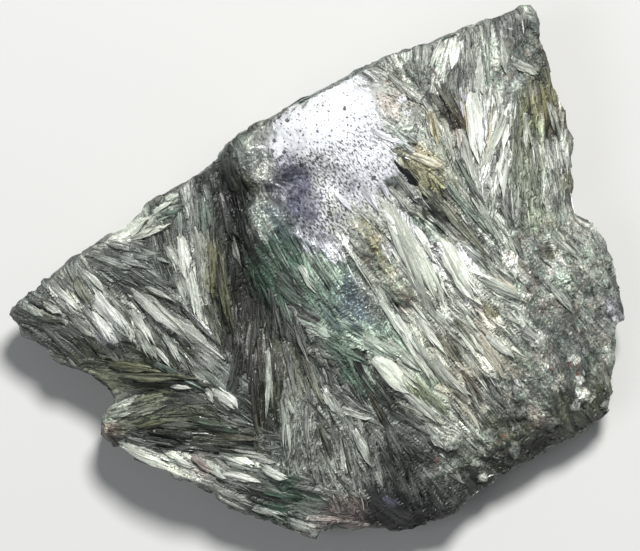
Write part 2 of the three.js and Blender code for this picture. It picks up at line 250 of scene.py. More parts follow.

# Where each finish lies on the ground, painted shade and a painted highlight among them, in mm: x, y and
# how far the patch spreads
stains = {
    # ice on the dome, round (1, 21), is its pale polish and a painted highlight on it
    "ice": [
        (-1, 25, 3.5), (3, 22.5, 4), (-5, 21.5, 2.5), (7, 27, 2.5), (6, 18, 3), (1.5, 16.5, 1.6),
        (-6.4, 19.4, 1.3), (8.4, 18.6, 1.8), (-0.8, 16.4, 1), (0.4, 7.8, 0.8), (13.5, 6, 1.4),
        (20.5, 2.5, 1.8), (7.4, 13.4, 1.5), (11.2, 4.6, 0.9), (0.6, 7.9, 0.8), (-2.9, 5.9, 0.6),
        (-1.7, 5.3, 0.6), (-0.5, 4.6, 0.6), (0.8, 3.9, 0.6), (2, 3.3, 0.6), (-31, -9, 1.2),
        (24, 21.5, 1.6), (3.5, 11.5, 2), (2, 13.5, 1.6),
    ],
    "silver": [
        (-27.5, 7, 2), (-19.5, 2, 1.6), (-24.5, -29, 1.6), (-20, -30, 2), (-12.5, -28, 2.2),
        (1, 15.5, 2.5), (4.5, 7.5, 2.2), (10, 9, 2), (14, 0, 2), (17.5, -4.5, 2), (22.8, -1, 1.6),
        (12.5, 24, 2), (23.5, 26, 2), (20, 32.8, 1.2), (11.2, 29, 1.2), (20.6, 19.2, 1.1),
        (25.5, 15, 1.6), (35.5, 17.5, 1.2), (24.5, -11.5, 2), (17.5, -20.5, 1.6), (26.5, 22, 1.2),
        (2.5, 10.4, 1.6), (4.6, 8.8, 1.2), (5, 5.8, 1), (2.2, 6.2, 1), (6.7, 5.2, 0.8), (-7.6, 15, 1.1),
        (23.5, -21.5, 1.4), (19.6, -21, 1.4), (29, 2, 1.1), (36.5, 0, 1.2), (42, 7, 1.2),
        (-38, -4.5, 1.3), (-19.2, -8.2, 1.2), (-17, -12.8, 1.3), (33, -9.5, 0.8),
    ],
    "frost": [
        (16.5, -3.9, 1.4), (-27.2, 8.2, 1.2), (25.3, -10.9, 1), (-21.6, -30, 1.2), (-26.4, 7, 1.4),
        (11.4, 28.6, 1.2), (19.5, -20.6, 1.2), (-22.8, -29.2, 1.3), (14.5, -8.5, 1.2),
        (16.2, -12.4, 1.3), (19, -14.6, 1.2), (15, -3.5, 1), (22, -6.5, 1.2), (13, -6.8, 0.9),
        (23, -23, 1.4), (15, -2.6, 1.5), (14.4, -12.6, 1.4), (16.4, 9, 1.5), (-26.9, 7.6, 1.4),
        (-30.6, 5.6, 1), (22.6, -23.8, 1.5), (23.2, -10.3, 1.1), (26.6, -10.8, 1.2), (15.6, -13.9, 1.5),
        (16.2, -4.6, 1.4), (25.9, -10.4, 1.2), (-27.2, 8.3, 1.1), (-27.6, -27.8, 1.1),
        (-24, -29.6, 1.2), (-20, -31, 1.2), (-12, -28.2, 1.5), (-9, -29.8, 1), (9.4, -10.8, 1.2),
        (12, -12.4, 1.2), (11, -15, 1.4),
    ],
    "pale": [
        (-13.3, -34.2, 1.3), (-2, -22, 2), (2, -28, 1.8), (15.5, -5.8, 1.2), (17.5, -9.5, 1.2),
        (-34, -4.5, 2), (-28, -6.5, 2.2), (-18, -3, 1.5), (-9, -29.5, 1.8), (-14, -18.5, 1.2),
        (-31, -21.5, 1.5), (-8.5, 7, 1.2), (8, -11, 2.5), (23, -25, 1.6), (16, 20, 2.2), (9.5, 28, 2.5),
        (21, 16, 1.6), (25, 33, 1.8), (29, -9, 2.2), (30, -3.5, 2), (43, 1, 2), (40, 3, 2),
        (28, 4.5, 2), (0.5, 0, 1.5), (20, -29.5, 1.2), (29, -15, 1.4), (10.8, 0, 1.4), (8, -1, 1.2),
        (16, 9, 1.5), (14.7, 10.8, 1.1), (27.8, 12.2, 1.6), (26.6, 0.4, 1.3), (26.2, -16.2, 1.2),
        (3, -19.5, 1.6), (36, -3, 1.5), (-2, -29, 1.6), (-10.5, 20, 1.1), (8.8, 2.6, 0.7),
        (12.2, 0.6, 0.7), (35.5, 12.4, 1.8), (37.6, 6.6, 1.6), (44, -12, 1.6), (1, -11, 1.3),
        (-2.2, 26.6, 0.9), (10.8, -3, 1.2), (31.6, 38.6, 1), (9.4, -4.6, 0.9), (24.3, 6.9, 1.3),
        (16.8, 9.3, 1.2), (27.1, 30.2, 1.2), (-30, -21.2, 1.2), (-25.6, -1.7, 1), (-8.2, 11.4, 1.1),
    ],
    "grey": [
        (-5.7, -7.6, 1.3), (13.9, 24, 1), (27.2, 16.4, 1), (-7.7, 20.6, 1.1), (22.8, 36.7, 1.6),
        (18.5, 34.9, 1.1), (18.9, -30.6, 1.3), (-9.6, 22, 1.2), (-7.6, 23.6, 0.9), (-5, 25.6, 1.1),
        (-2, 27.4, 1), (2.5, 30, 0.9), (-3, -7, 2), (-6, 24.4, 0.8), (38, 19, 0.9), (-38, -1, 2),
        (-33, 1.5, 2.5), (-21, 9, 2), (5, -25, 3), (-2, -25, 2.5), (8.5, -22.5, 2), (7, -29, 2.5),
        (0, -32, 2), (36, 4, 3), (41, 5, 2.5), (-2, -38, 1.8), (39, -5, 3), (43.5, -7, 2),
        (33, -14.5, 2), (25, -18.5, 2), (31, 33, 2), (22, 29.5, 2), (20, 10, 2.5), (25, 7, 2.5),
        (-14, -34, 1.8), (15.5, 29, 1.6), (17.5, -26, 1.8), (29, 29, 1.4),
    ],
    "slate": [
        (-11.7, 19.8, 0.9), (-24.4, 10.5, 0.9), (-21.6, 12.4, 0.9), (-16.6, -7.2, 1.3),
        (30.4, -10.8, 1.1), (-17.2, -31.8, 0.8), (14.5, -31.8, 1.2), (-35.8, -1.2, 1.3), (27, 37, 1.2),
        (-16, -8.4, 1), (-44, -6, 3), (-40, -8.5, 3), (-26, -1, 2), (-30.5, -0.5, 1.8),
        (-24, -6.5, 1.5), (-24, 3, 1.8), (-36, 1, 1.4), (-6, -8, 2), (-1.5, -18, 2.5), (5, -18, 1.8),
        (2, -13, 2.5), (-16, 8, 2), (-20, -16, 2), (-6, -25, 2), (23, 11, 2), (-21, 6, 1.5),
        (10.7, 13, 0.8), (-18.4, 4.3, 0.8), (33, 37.6, 1.1), (35, -17.5, 2.5), (29, -19, 2),
        (40, -13, 2.5), (14, -25, 2), (-4, -2, 2), (-11.5, 17.5, 1.6), (-7.5, 8.5, 1.8), (-5, 8, 1.2),
        (28, -6.5, 1.4), (31, -11, 1.4), (33, 36, 2), (12, -20, 1.8), (45, -3, 1.5), (-19, -6, 1.2),
        (-14, -14, 1.5), (31, -2.5, 1.4), (33.5, -5.5, 1.5), (35, -9, 1.5), (-28.6, 3, 1.4),
        (-28, 1, 1.2), (-23.6, -8.7, 1.2), (-8.6, 17.2, 1), (12.3, 18.8, 1), (20, 28, 1.3),
        (-12, -20.5, 1.5), (28, 8.5, 1.4),
    ],
    "moss": [
        (-20, -12, 1.4), (-35, -10.5, 3), (-30, -13, 3), (-24.5, -14.5, 2.5), (-33, -15.5, 3),
        (-27, -18.5, 2.5), (-27, -22.5, 2.2), (-19, -22.5, 3), (-13, -24, 2.5), (-18, -19.5, 2),
        (-14.5, 3.5, 2), (-15.5, -5, 2), (-14.5, -9.5, 1.8), (-22, 5, 1.5), (-10.5, 13.5, 1.3),
        (-5.5, -19, 2), (30, -23, 3), (36, -21.5, 3), (25, -28.5, 3), (42, -16, 1.6), (-9, -8.5, 2),
        (-25, -4, 1), (34, 31, 1.6), (26, -21, 1.4), (21, -10.5, 1.4), (21.6, -12.6, 1.2),
        (31, -12.4, 1.2), (30.8, 17.6, 1.4), (32.2, 16.4, 1.2), (17.8, 21.8, 1), (12.4, 18.5, 1),
        (-4.5, -13, 2.5),
    ],
    # umber down the valley at x -10 is the stone's dark colour and painted shade
    "umber": [
        (-10.5, -3, 2), (-10.5, -7.5, 2), (-10.5, -12, 2), (-9.5, -17, 1.8), (-7.5, -21.5, 1.5),
        (20.5, 23.5, 1.4), (18, 28, 1.1), (26.5, -17.5, 1.4), (31, -18, 1.5), (35.5, -18, 1.2),
        (20.5, -13.5, 1.3), (23, -17, 1.1), (12.2, -4, 0.9), (-7, -14, 1.4), (-3, -15.5, 1.2),
    ],
    "brown": [
        (8.6, 3.5, 1.3), (10.2, 1.5, 1.4), (12.6, 18.6, 0.8), (11.5, -2, 1.3), (17.5, -9, 1.3),
        (16.8, -15, 1.2), (27.5, -12, 1), (18.5, 9.5, 1.2), (22, 5.5, 1.1), (34.5, 24, 1.3),
    ],
    "olive": [
        (19.2, 4.5, 0.9), (7.6, 6, 1), (25.8, -5.7, 1), (17, 22.6, 1), (37, 13.5, 1), (7.2, 7.8, 0.9),
        (9.2, 5.8, 1.2), (12.5, 18, 1.2), (33.8, 25.8, 1.6), (18, -17.5, 1.5), (27, -6.9, 1.1),
        (19, 14, 2), (-37, -2, 1), (-17, -0.5, 1.2), (36, 4.2, 1),
    ],
    "sage": [(30.5, 17, 2.5), (33, 18, 1.6), (31, 12, 1.5), (33, 9, 1.5)],
    # dark along the valley left of the dome, round x -12, is dark stone and painted shade
    "dark": [
        (-27.4, -25, 1), (-23, -25.9, 1), (10.4, -27, 1.3), (9, -32, 1.3), (-8.8, -12, 1),
        (-11, -6, 1.6), (-11, -13, 1.4), (-10.4, -9.5, 1.4), (-10.8, -16, 1.3), (-11.5, -3, 1.4),
        (-6, -33.5, 1), (24, -30, 2), (30, -29, 2), (-14, 13.5, 2.2), (-13, 9, 2), (-12, 4.5, 2.2),
        (-12, -1, 2.2), (-12.5, 17, 1.4), (-25.5, -25, 1.3), (-20.5, -25.7, 1.3), (-15, -26, 1),
        (-31, -24.8, 1), (17.5, -28, 1.8), (20.4, -27, 1.2), (15.8, -27.6, 1.1), (20, -32, 2),
        (32, -26, 2.5), (7.5, -16.5, 1.3), (-9, -34, 1.8), (38, -17, 1), (37.5, -8, 1), (12, -29, 1.8),
        (-12.5, -11.5, 1.2), (10, -18.5, 1.1), (-4, -35, 1.6), (26, -31, 1.6),
    ],
    # black under the overhang at the bottom edge, round (14, -35), is painted shadow; in the valley left of
    # the dome, round (-12.5, 8), it is dark stone and painted shade
    "black": [
        (14, -33.4, 2.6), (13.5, -36.8, 2.2), (17, -36.2, 1.6), (9, -36.8, 1.8), (-12.5, 8, 1.6),
        (-13.5, 11.5, 1.4), (-11.5, 3, 1), (12.5, 14.8, 0.5), (14.5, 15.3, 0.5), (-11.3, -2, 0.8),
    ],
    "green": [
        (-23.4, 10.3, 1.2), (-22, 9.2, 1.2), (-24.6, 10.6, 1.2), (-5, -33, 2.2), (-6, 2.5, 2.2),
        (-3.2, 3.2, 2), (-1, -3, 2.2), (-7, -36, 1.6), (-8, 0, 1.6), (12.2, 20.2, 1.3), (4.5, -10.5, 2),
        (5, -14, 1.6), (17, 6, 1), (-6.5, -2.5, 1.6), (17.5, 10.5, 1), (24, 9.5, 1),
    ],
    "teal": [(2.5, -3, 2), (-5.5, 6.5, 1.6), (4.5, -5, 1.8), (6, -7.5, 1.5), (-2, 6, 1.4)],
    "steel": [(4.6, -2.8, 1.5), (6.4, -4.6, 1.4), (8, -6.6, 1.4), (-7, 8.6, 1.4)],
    "mint": [
        (0.6, -3.4, 1.1), (1.5, 0.5, 1.4), (7.5, -9.5, 2.6), (10.5, -10.5, 3.4), (9.5, -9.5, 1.6),
        (-31.5, -21, 1), (14, -11.5, 1.4), (17, -18, 1.4), (36.5, -1.5, 1),
    ],
    "lime": [(15.5, -17.5, 1.3), (18, -21, 1.3), (31.8, 21.5, 1)],
    "lavender": [
        (-3.2, 17.2, 1.1), (-5.6, 16, 1.1), (-5.4, 12.6, 1.2), (-0.5, 11, 1.2), (-1.8, 6.8, 1.2),
        (4, 14, 1.4), (3.8, 7.8, 1.1), (0.5, 6, 1.5), (44, -5, 1), (22, 27.5, 1),
    ],
    "violet": [
        (11.4, -34.6, 0.7), (-4.2, 15, 1.2), (-2, 14.6, 1.4), (-2.8, 12.4, 1.4), (-3.2, 10.2, 1.2),
        (-1.2, 9, 0.9),
    ],
    "pink": [
        (-17.5, -29, 1.2), (3.5, -36.5, 2.2), (24, -6.5, 1.2), (34, -5, 0.7), (33, -20.5, 1.2),
        (13.5, -5.2, 0.8),
    ],
    "blush": [(13, 26, 1), (10, 25.2, 1.2), (21, 20, 0.8)],
    "cream": [
        (22.6, -15, 1.8), (24.5, -8, 1.6), (26.5, -12, 2), (16.5, -10.5, 1.6), (20, -16.5, 1.2),
        (22, -20, 1.2), (18, 21.5, 0.7),
    ],
    "gold": [(15.5, 17, 1), (10.8, 0.4, 0.6), (22.2, 23, 0.7)],
    "rust": [(-31.4, -23.4, 1.2), (13.2, -4.6, 0.6), (14.5, 18.2, 0.5)],
}

# Low ridges of the ground, in mm: x, y at both ends, half width and height
ridges = [
    (-3.2, 6.1, -0.5, 4.5, 0.55, 0.5), (-0.5, 4.5, 2.4, 3.1, 0.55, 0.45),
    (-10.6, 9.4, -8, 10.4, 0.8, 0.5), (-8, 10.4, -6.4, 9.6, 0.7, 0.4),
    (3.8, 4.6, 13.5, -9.5, 0.5, 0.35), (10, 21.2, 15, 17.6, 0.6, 0.4), (17, -30.4, 25, -26.6, 0.9, 0.6),
    (25, -26.6, 32, -22.4, 0.9, 0.5), (7.4, 27.6, 9, 24.4, 0.5, 0.4), (9, 24.4, 13.4, 21.2, 0.5, 0.4),
]

# Lumps of the ground, in mm: x, y and size, by finish
lumps = {
    "silver": [
        (25, -30.6, 1.4), (40.2, -17.6, 2.6), (39.4, -16.2, 1.4), (38.6, -12.6, 1.8), (39, -19.6, 1.5),
        (32.4, -10.2, 1.1), (28.8, 2.2, 1.6), (36.8, 3.6, 1.2), (44, 6.4, 1.2), (34.2, -13.6, 1.2),
    ],
    "pale": [
        (31.6, -15.6, 1.3), (37, 0.2, 2.2), (27.6, 4.4, 1.2), (44.4, 2.6, 1.4), (24, -28.2, 1.3),
        (41.8, -4.4, 2), (43.6, -19.6, 1.3), (36.6, -15.4, 1.2), (20, -25.4, 2.4), (34.4, 5.6, 1.5),
    ],
    "blush": [(9.8, 26, 2.8), (11.4, 24.2, 2.4)],
    "ice": [(12.2, 26.2, 1.8), (13.4, 23.8, 1.4), (8, 25, 1.6)],
    "rust": [(11.5, 25.9, 0.7), (12.5, 24.9, 0.5)],
    "grey": [(35.6, -22.6, 1.8), (30.4, -20.8, 1.7), (25.8, -24.4, 2.2), (29.8, -26.4, 1.7)],
}

# Where the sides stand further out, or back where it is negative, in mm: x, y, reach and how far
bulges = [
    (-11.9, 20.6, 3.4, 1.5), (-23.4, 11.6, 3.4, 0.7), (38.1, 24.3, 1.8, -1), (45.5, -17.8, 1.8, -0.8),
]

# Areas with a skin of their own, in mm and degrees: x, y, half length, half width, turn
zones = {
    "polish": [
        (0.5, 21, 10.5, 6, 27), (6, 15.5, 7.5, 5, -50), (-1.2, 10.8, 4.4, 6, 0), (2, 9, 3, 4, -30),
        (11.5, 25, 3.5, 2.5, -40),
    ],
    "sparkle": [
        (-8, 8.8, 3, 2.4, -20), (6, -4, 5.5, 2.6, -42), (33, -6, 5.5, 2, -60), (-9.5, 16, 2, 3.5, 0),
    ],
    "coarse": [
        (36, 2, 8, 8, 0), (38.5, -8, 7, 11, 0), (35, -14, 8, 7, 0), (30, -25, 9, 5, 30),
        (20, -28, 4, 4, 0), (9.3, 2.2, 7.3, 2.1, -57), (28, 31.5, 6, 4.5, 30), (14, 29.5, 4, 2, 20),
    ],
}


borders = {
    "zoneRagged": ((0.18, 2.2, 3),),  # how an area's border wanders, as a share of its size
    "zoneEnd": 1.12,  # of its size where an area ends
    "zoneFade": 0.25,  # of its size over which it fades
    "lumpRagged": ((0.5, 1, 4), (0.3, 0.5, 5)),
    "lumpEnd": 1.1,
    "lumpFade": 0.35,
    "lumpRise": 0.2,  # of its size that a lump stands out
    "patchWander": 0.9,  # mm that a patch of a finish wanders
    "patchWave": 2.5,  # mm from one such swell to the next
    "plain": 2e-4,  # weight of plain slate ground, which shows where no patch is near
}


def softNoise(points, size, seed):
    # smooth noise from -1 to 1 at each of many points; the large numbers only mix up its corners
    place = np.asarray(points, float) / size
    cell = np.floor(place).astype(np.int64)
    share = place - cell
    share = share * share * (3 - 2 * share)
    total = np.zeros(len(place))
    for corner in np.ndindex(*(2,) * place.shape[1]):
        mixed = np.full(len(place), seed * 101 + 7, np.int64)
        weight = np.ones(len(place))
        for axis, side in enumerate(corner):
            mixed = (mixed * 1103515245 + (cell[:, axis] + side) * 374761393 + 12345) & 0x7FFFFFFF
            mixed = mixed ^ (mixed >> 13)
            weight = weight * (share[:, axis] if side else 1 - share[:, axis])
        total += weight * ((mixed * 69069 >> 3 & 0xFFFF) / 32767.5 - 1)
    return total


def waves(points, layers):
    # layers of that noise, each with its height, the distance between its swells and its own number
    return sum(height * softNoise(points, size, seed) for height, size, seed in layers)


def unit(vectors):
    return vectors / np.maximum(np.linalg.norm(vectors, axis=-1, keepdims=True), 1e-9)


def zoneShare(name, plan):
    # how far each point of the plan is in an area, from 0 to 1
    best = np.zeros(len(plan))
    ragged = waves(plan, borders["zoneRagged"])
    for x, y, halfLength, halfWidth, turn in zones[name]:
        c, s = math.cos(math.radians(turn)), math.sin(math.radians(turn))
        dx, dy = plan[:, 0] - x, plan[:, 1] - y
        reach = np.hypot((dx * c + dy * s) / halfLength, (dy * c - dx * s) / halfWidth)
        inside = (borders["zoneEnd"] - reach - ragged) / borders["zoneFade"]
        best = np.maximum(best, np.clip(inside, 0, 1))
    return best


def ridgeAt(plan):
    # height of the ridges at each point of the plan
    total = np.zeros(len(plan))
    for x0, y0, x1, y1, halfWidth, height in ridges:
        root, run = np.array((x0, y0)), np.array((x1 - x0, y1 - y0))
        share = np.clip((plan - root) @ run / (run @ run), 0, 1)
        gap = np.linalg.norm(plan - root - share[:, None] * run, axis=1)
        total = np.maximum(total, height * np.exp(-((gap / halfWidth) ** 2)))
    return total


def lumpsAt(plan):
    # height of the lumps at each point of the plan, how far it is in one, and that one's finish
    ragged = waves(plan, borders["lumpRagged"])
    height, share, tone = np.zeros(len(plan)), np.zeros(len(plan)), np.zeros((len(plan), 3))
    for name, places in lumps.items():
        for x, y, size in places:
            reach = np.hypot(plan[:, 0] - x, plan[:, 1] - y) * 2 / size
            inside = np.clip((borders["lumpEnd"] - reach + ragged) / borders["lumpFade"], 0, 1)
            tone[inside > share] = paint(name)
            height = np.maximum(height, borders["lumpRise"] * size * inside**0.5)
            share = np.maximum(share, inside)
    return height, share, tone


def stainAt(plan):
    # the ground's finish at each point of the plan
    total = np.zeros((len(plan), 3))
    weights = np.full(len(plan), borders["plain"])
    total += borders["plain"] * paint("slate")
    wander = np.stack([softNoise(plan, borders["patchWave"], number) for number in (11, 12)], 1)
    wander = wander * borders["patchWander"]
    for name, patches in stains.items():
        for x, y, spread in patches:
            reach = np.linalg.norm(plan + wander - (x, y), axis=1) / spread
            weight = np.exp(-(reach**2)) / spread
            total += weight[:, None] * paint(name)
            weights += weight
    return total / weights[:, None]


def listLeads():
    # every lead blade as arrays
    found = {"root": [], "tip": [], "width": [], "tone": [], "fan": []}
    for fanNumber, fan in enumerate(fans.values()):
        for tone, rows in fan["leads"].items():
            for rootX, rootY, tipX, tipY, width in rows:
                found["root"].append((rootX, rootY))
                found["tip"].append((tipX, tipY))
                found["width"].append(width)
                found["tone"].append(paint(tone))
                found["fan"].append(fanNumber)
    return {name: np.array(values) for name, values in found.items()}


leads = listLeads()


def flowAt(plan):
    # for each point of the plan: the way its fibres run, its fan, its nearest lead and the gap to it
    run = leads["tip"] - leads["root"]
    offset = plan[:, None] - leads["root"][None]
    share = np.clip((offset * run).sum(2) / (run**2).sum(1), 0, 1)
    gap = np.linalg.norm(offset - share[..., None] * run, axis=2)
    nearest = gap.argmin(1)
    fan = leads["fan"][nearest]
    weight = (leads["fan"][None] == fan[:, None]) / (gap**2 + 0.5) ** 1.5
    flow = (weight[..., None] * unit(run)).sum(1)
    return unit(flow), fan, nearest, gap.min(1)


def meshFrom(work, name):
    mesh = bpy.data.meshes.new(name)
    work.to_mesh(mesh)
    work.free()
    return mesh


def withModifier(mesh, kind, settings):
    # the mesh that one modifier makes of another
    holder = bpy.data.objects.new(mesh.name, mesh)
    bpy.context.scene.collection.objects.link(holder)
    modifier = holder.modifiers.new(kind, kind)
    for name, value in settings.items():
        setattr(modifier, name, value)
    made = bpy.data.meshes.new_from_object(holder.evaluated_get(bpy.context.evaluated_depsgraph_get()))
    bpy.data.objects.remove(holder)
    return made


def addPiece(name, mesh, material):
    mesh.name = name
    piece = bpy.data.objects.new(name, mesh)
    bpy.context.scene.collection.objects.link(piece)
    mesh.materials.clear()
    mesh.materials.append(material)
    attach(piece, "root")
    return piece


def setAttribute(mesh, name, kind, values):
    attribute = mesh.attributes.new(name, kind, "POINT")
    field = {"FLOAT_COLOR": "color", "FLOAT_VECTOR": "vector", "FLOAT": "value"}[kind]
    attribute.data.foreach_set(field, np.asarray(values, np.float32).ravel())


def setTone(mesh, colours):
    shown = np.clip(colours, 0, 1)
    setAttribute(mesh, "tone", "FLOAT_COLOR", np.column_stack([shown, np.ones(len(shown))]))


def readPlaces(mesh):
    found = np.zeros(len(mesh.vertices) * 3, np.float32)
    mesh.vertices.foreach_get("co", found)
    return found.reshape(-1, 3).astype(float) / mm


def setPlaces(mesh, points):
    # points in mm, kept within the solid's own box
    kept = np.clip(points * mm, np.array(cadLow), np.array(cadHigh))
    mesh.vertices.foreach_set("co", kept.astype(np.float32).ravel())
    mesh.update()


class Wire:
    # one socket of a material: a sum or product of two adds its Math node
    def __init__(self, tree, socket=None):
        self.tree = tree
        self.socket = socket

    def node(self, kind, settings, inputs, output=0):
        made = self.tree.nodes.new(kind)
        for name, value in settings.items():
            setattr(made, name, value)
        for name, value in inputs.items():
            if isinstance(value, Wire):
                self.tree.links.new(value.socket, made.inputs[name])
            else:
                made.inputs[name].default_value = value
        return Wire(self.tree, made.outputs[output])

    def calc(self, operation, *values):
        return self.node("ShaderNodeMath", {"operation": operation}, dict(enumerate(values)))

    def __add__(self, other):
        return self.calc("ADD", self, other)

    def __sub__(self, other):
        return self.calc("SUBTRACT", self, other)

    def __mul__(self, other):
        return self.calc("MULTIPLY", self, other)

    def __truediv__(self, other):
        return self.calc("DIVIDE", self, other)

    def __rsub__(self, other):
        return self.calc("SUBTRACT", other, self)

    __radd__ = __add__
    __rmul__ = __mul__

    def size(self):
        return self.calc("ABSOLUTE", self)

    def within(self, low, high):
        # 0 at low and 1 at high, and held there beyond
        inputs = {"Value": self, "From Min": low, "From Max": high}
        return self.node("ShaderNodeMapRange", {"interpolation_type": "SMOOTHSTEP"}, inputs)

    def blend(self, other, share=1.0, mode="MIX"):
        inputs = {0: share, 6: self, 7: other}
        return self.node("ShaderNodeMix", {"data_type": "RGBA", "blend_type": mode}, inputs, 2)

    def shade(self, light):
        # a colour made lighter or darker by a number
        return self.blend(self.vector(light, light, light), 1.0, "MULTIPLY")

    def vector(self, x, y, z):
        return self.node("ShaderNodeCombineXYZ", {}, {0: x, 1: y, 2: z})

    def parts(self):
        found = self.node("ShaderNodeSeparateXYZ", {}, {0: self})
        return [Wire(self.tree, output) for output in found.socket.node.outputs]

    def noise(self, size, detail=2.0, rough=0.5):
        # noise over this place, with lumps of this size
        inputs = {"Vector": self, "Scale": 1 / size, "Detail": detail, "Roughness": rough}
        return self.node("ShaderNodeTexNoise", {}, inputs)

    def cells(self, size, feature="F1", output=0, dimensions="3D"):
        inputs = {"Vector": self, "Scale": 1 / size}
        settings = {"feature": feature, "voronoi_dimensions": dimensions}
        return self.node("ShaderNodeTexVoronoi", settings, inputs, output)

    def attribute(self, name, output):
        return self.node("ShaderNodeAttribute", {"attribute_name": name}, {}, output)

    def plug(self, shader, name):
        self.tree.links.new(self.socket, shader.inputs[name])


def newMaterial(name):
    material = bpy.data.materials.new(name)
    material.use_nodes = True
    tree = material.node_tree
    return material, Wire(tree), tree.nodes["Principled BSDF"]


silk = {
    "streak": 0.42,  # mm across a pale or dark streak of a blade
    "hair": 0.19,  # mm across its finest fibres
    "run": 6.0,  # mm that they keep going
    "wave": 0.3,  # mm that they wander to the side
    "relief": 0.05,  # mm of bump
}


def fibreLight(grain, sizes):
    # streaks, hairs and dark partings along fibrous serpentine, breaks across it, and fine grain
    across, along, seed = grain.parts()
    wave = grain.vector(across * 0.5, along * 0.35, seed + 3.0).noise(1, 2, 0.5)
    across = across + (wave - 0.5) * (2 * sizes["wave"])
    streaks = grain.vector(across / sizes["streak"], along / sizes["run"], seed).noise(1, 3, 0.6)
    hairs = grain.vector(across / sizes["hair"], along / sizes["run"] * 1.6, seed + 9.0).noise(1, 2, 0.5)
    partings = grain.vector(across * 0.9, along * 0.16, seed + 17.0).noise(1, 4, 0.65)
    partings = 1 - (partings - 0.5).size().within(0.0, 0.03)
    breaks = grain.vector(across * 1.3, along * 0.9, seed + 31.0).noise(1, 3, 0.65).within(0.58, 0.68)
    fine = grain.noise(0.17, 2, 0.6)
    light = streaks.within(0.38, 0.62) * 0.9 + hairs.within(0.36, 0.64) * 0.75 + 0.16
    light = light * (1 - breaks * 0.35) * (1 - partings * 0.7) * (fine.within(0.34, 0.66) * 0.56 + 0.72)
    return light, streaks * 0.8 + hairs * 0.5 - breaks * 0.3 - partings * 0.6 + fine * 0.3, hairs


def bladeSilk():
    # satin serpentine, streaked along each blade
    material, start, shader = newMaterial("bladeSilk")
    light, height, hairs = fibreLight(start.attribute("grain", 1), silk)
    tone = start.attribute("tone", 0)
    calm = tone.parts()[1].within(0.22, 0.58) * 0.58
    tone.shade(light * (1 - calm) + calm).plug(shader, "Base Color")
    (hairs.within(0.2, 0.8) * 0.22 + 0.24).plug(shader, "Roughness")
    bump = {"Strength": 0.9, "Distance": silk["relief"] * mm, "Height": height}
    start.node("ShaderNodeBump", {}, bump).plug(shader, "Normal")
    shader.inputs["IOR"].default_value = 1.56
    shader.inputs["Specular IOR Level"].default_value = 0.65
    return material


skin = {
    "streak": 0.45,
    "hair": 0.2,
    "run": 5.0,
    "wave": 0.35,
    # the dome's clear part is its painted highlight
    "core": (0.5, 24, 27, 8, 4),  # mm and degrees: x, y, turn and half sizes of the dome's clear part
    "tick": (0.27, 0.6, -52),  # mm of the dark ticks round it, across and along, and their turn
    # its small, middling and large black dots: mm between them, share left out, and the shares of those
    # mm at which one is full and has ended
    "dots": ((0.55, 0.75, 0.04, 0.18), (0.9, 0.66, 0.05, 0.15), (2.1, 0.8, 0.07, 0.14)),
    "grain": 0.55,  # mm across the grains of the coarse end
    "relief": 0.07,
}


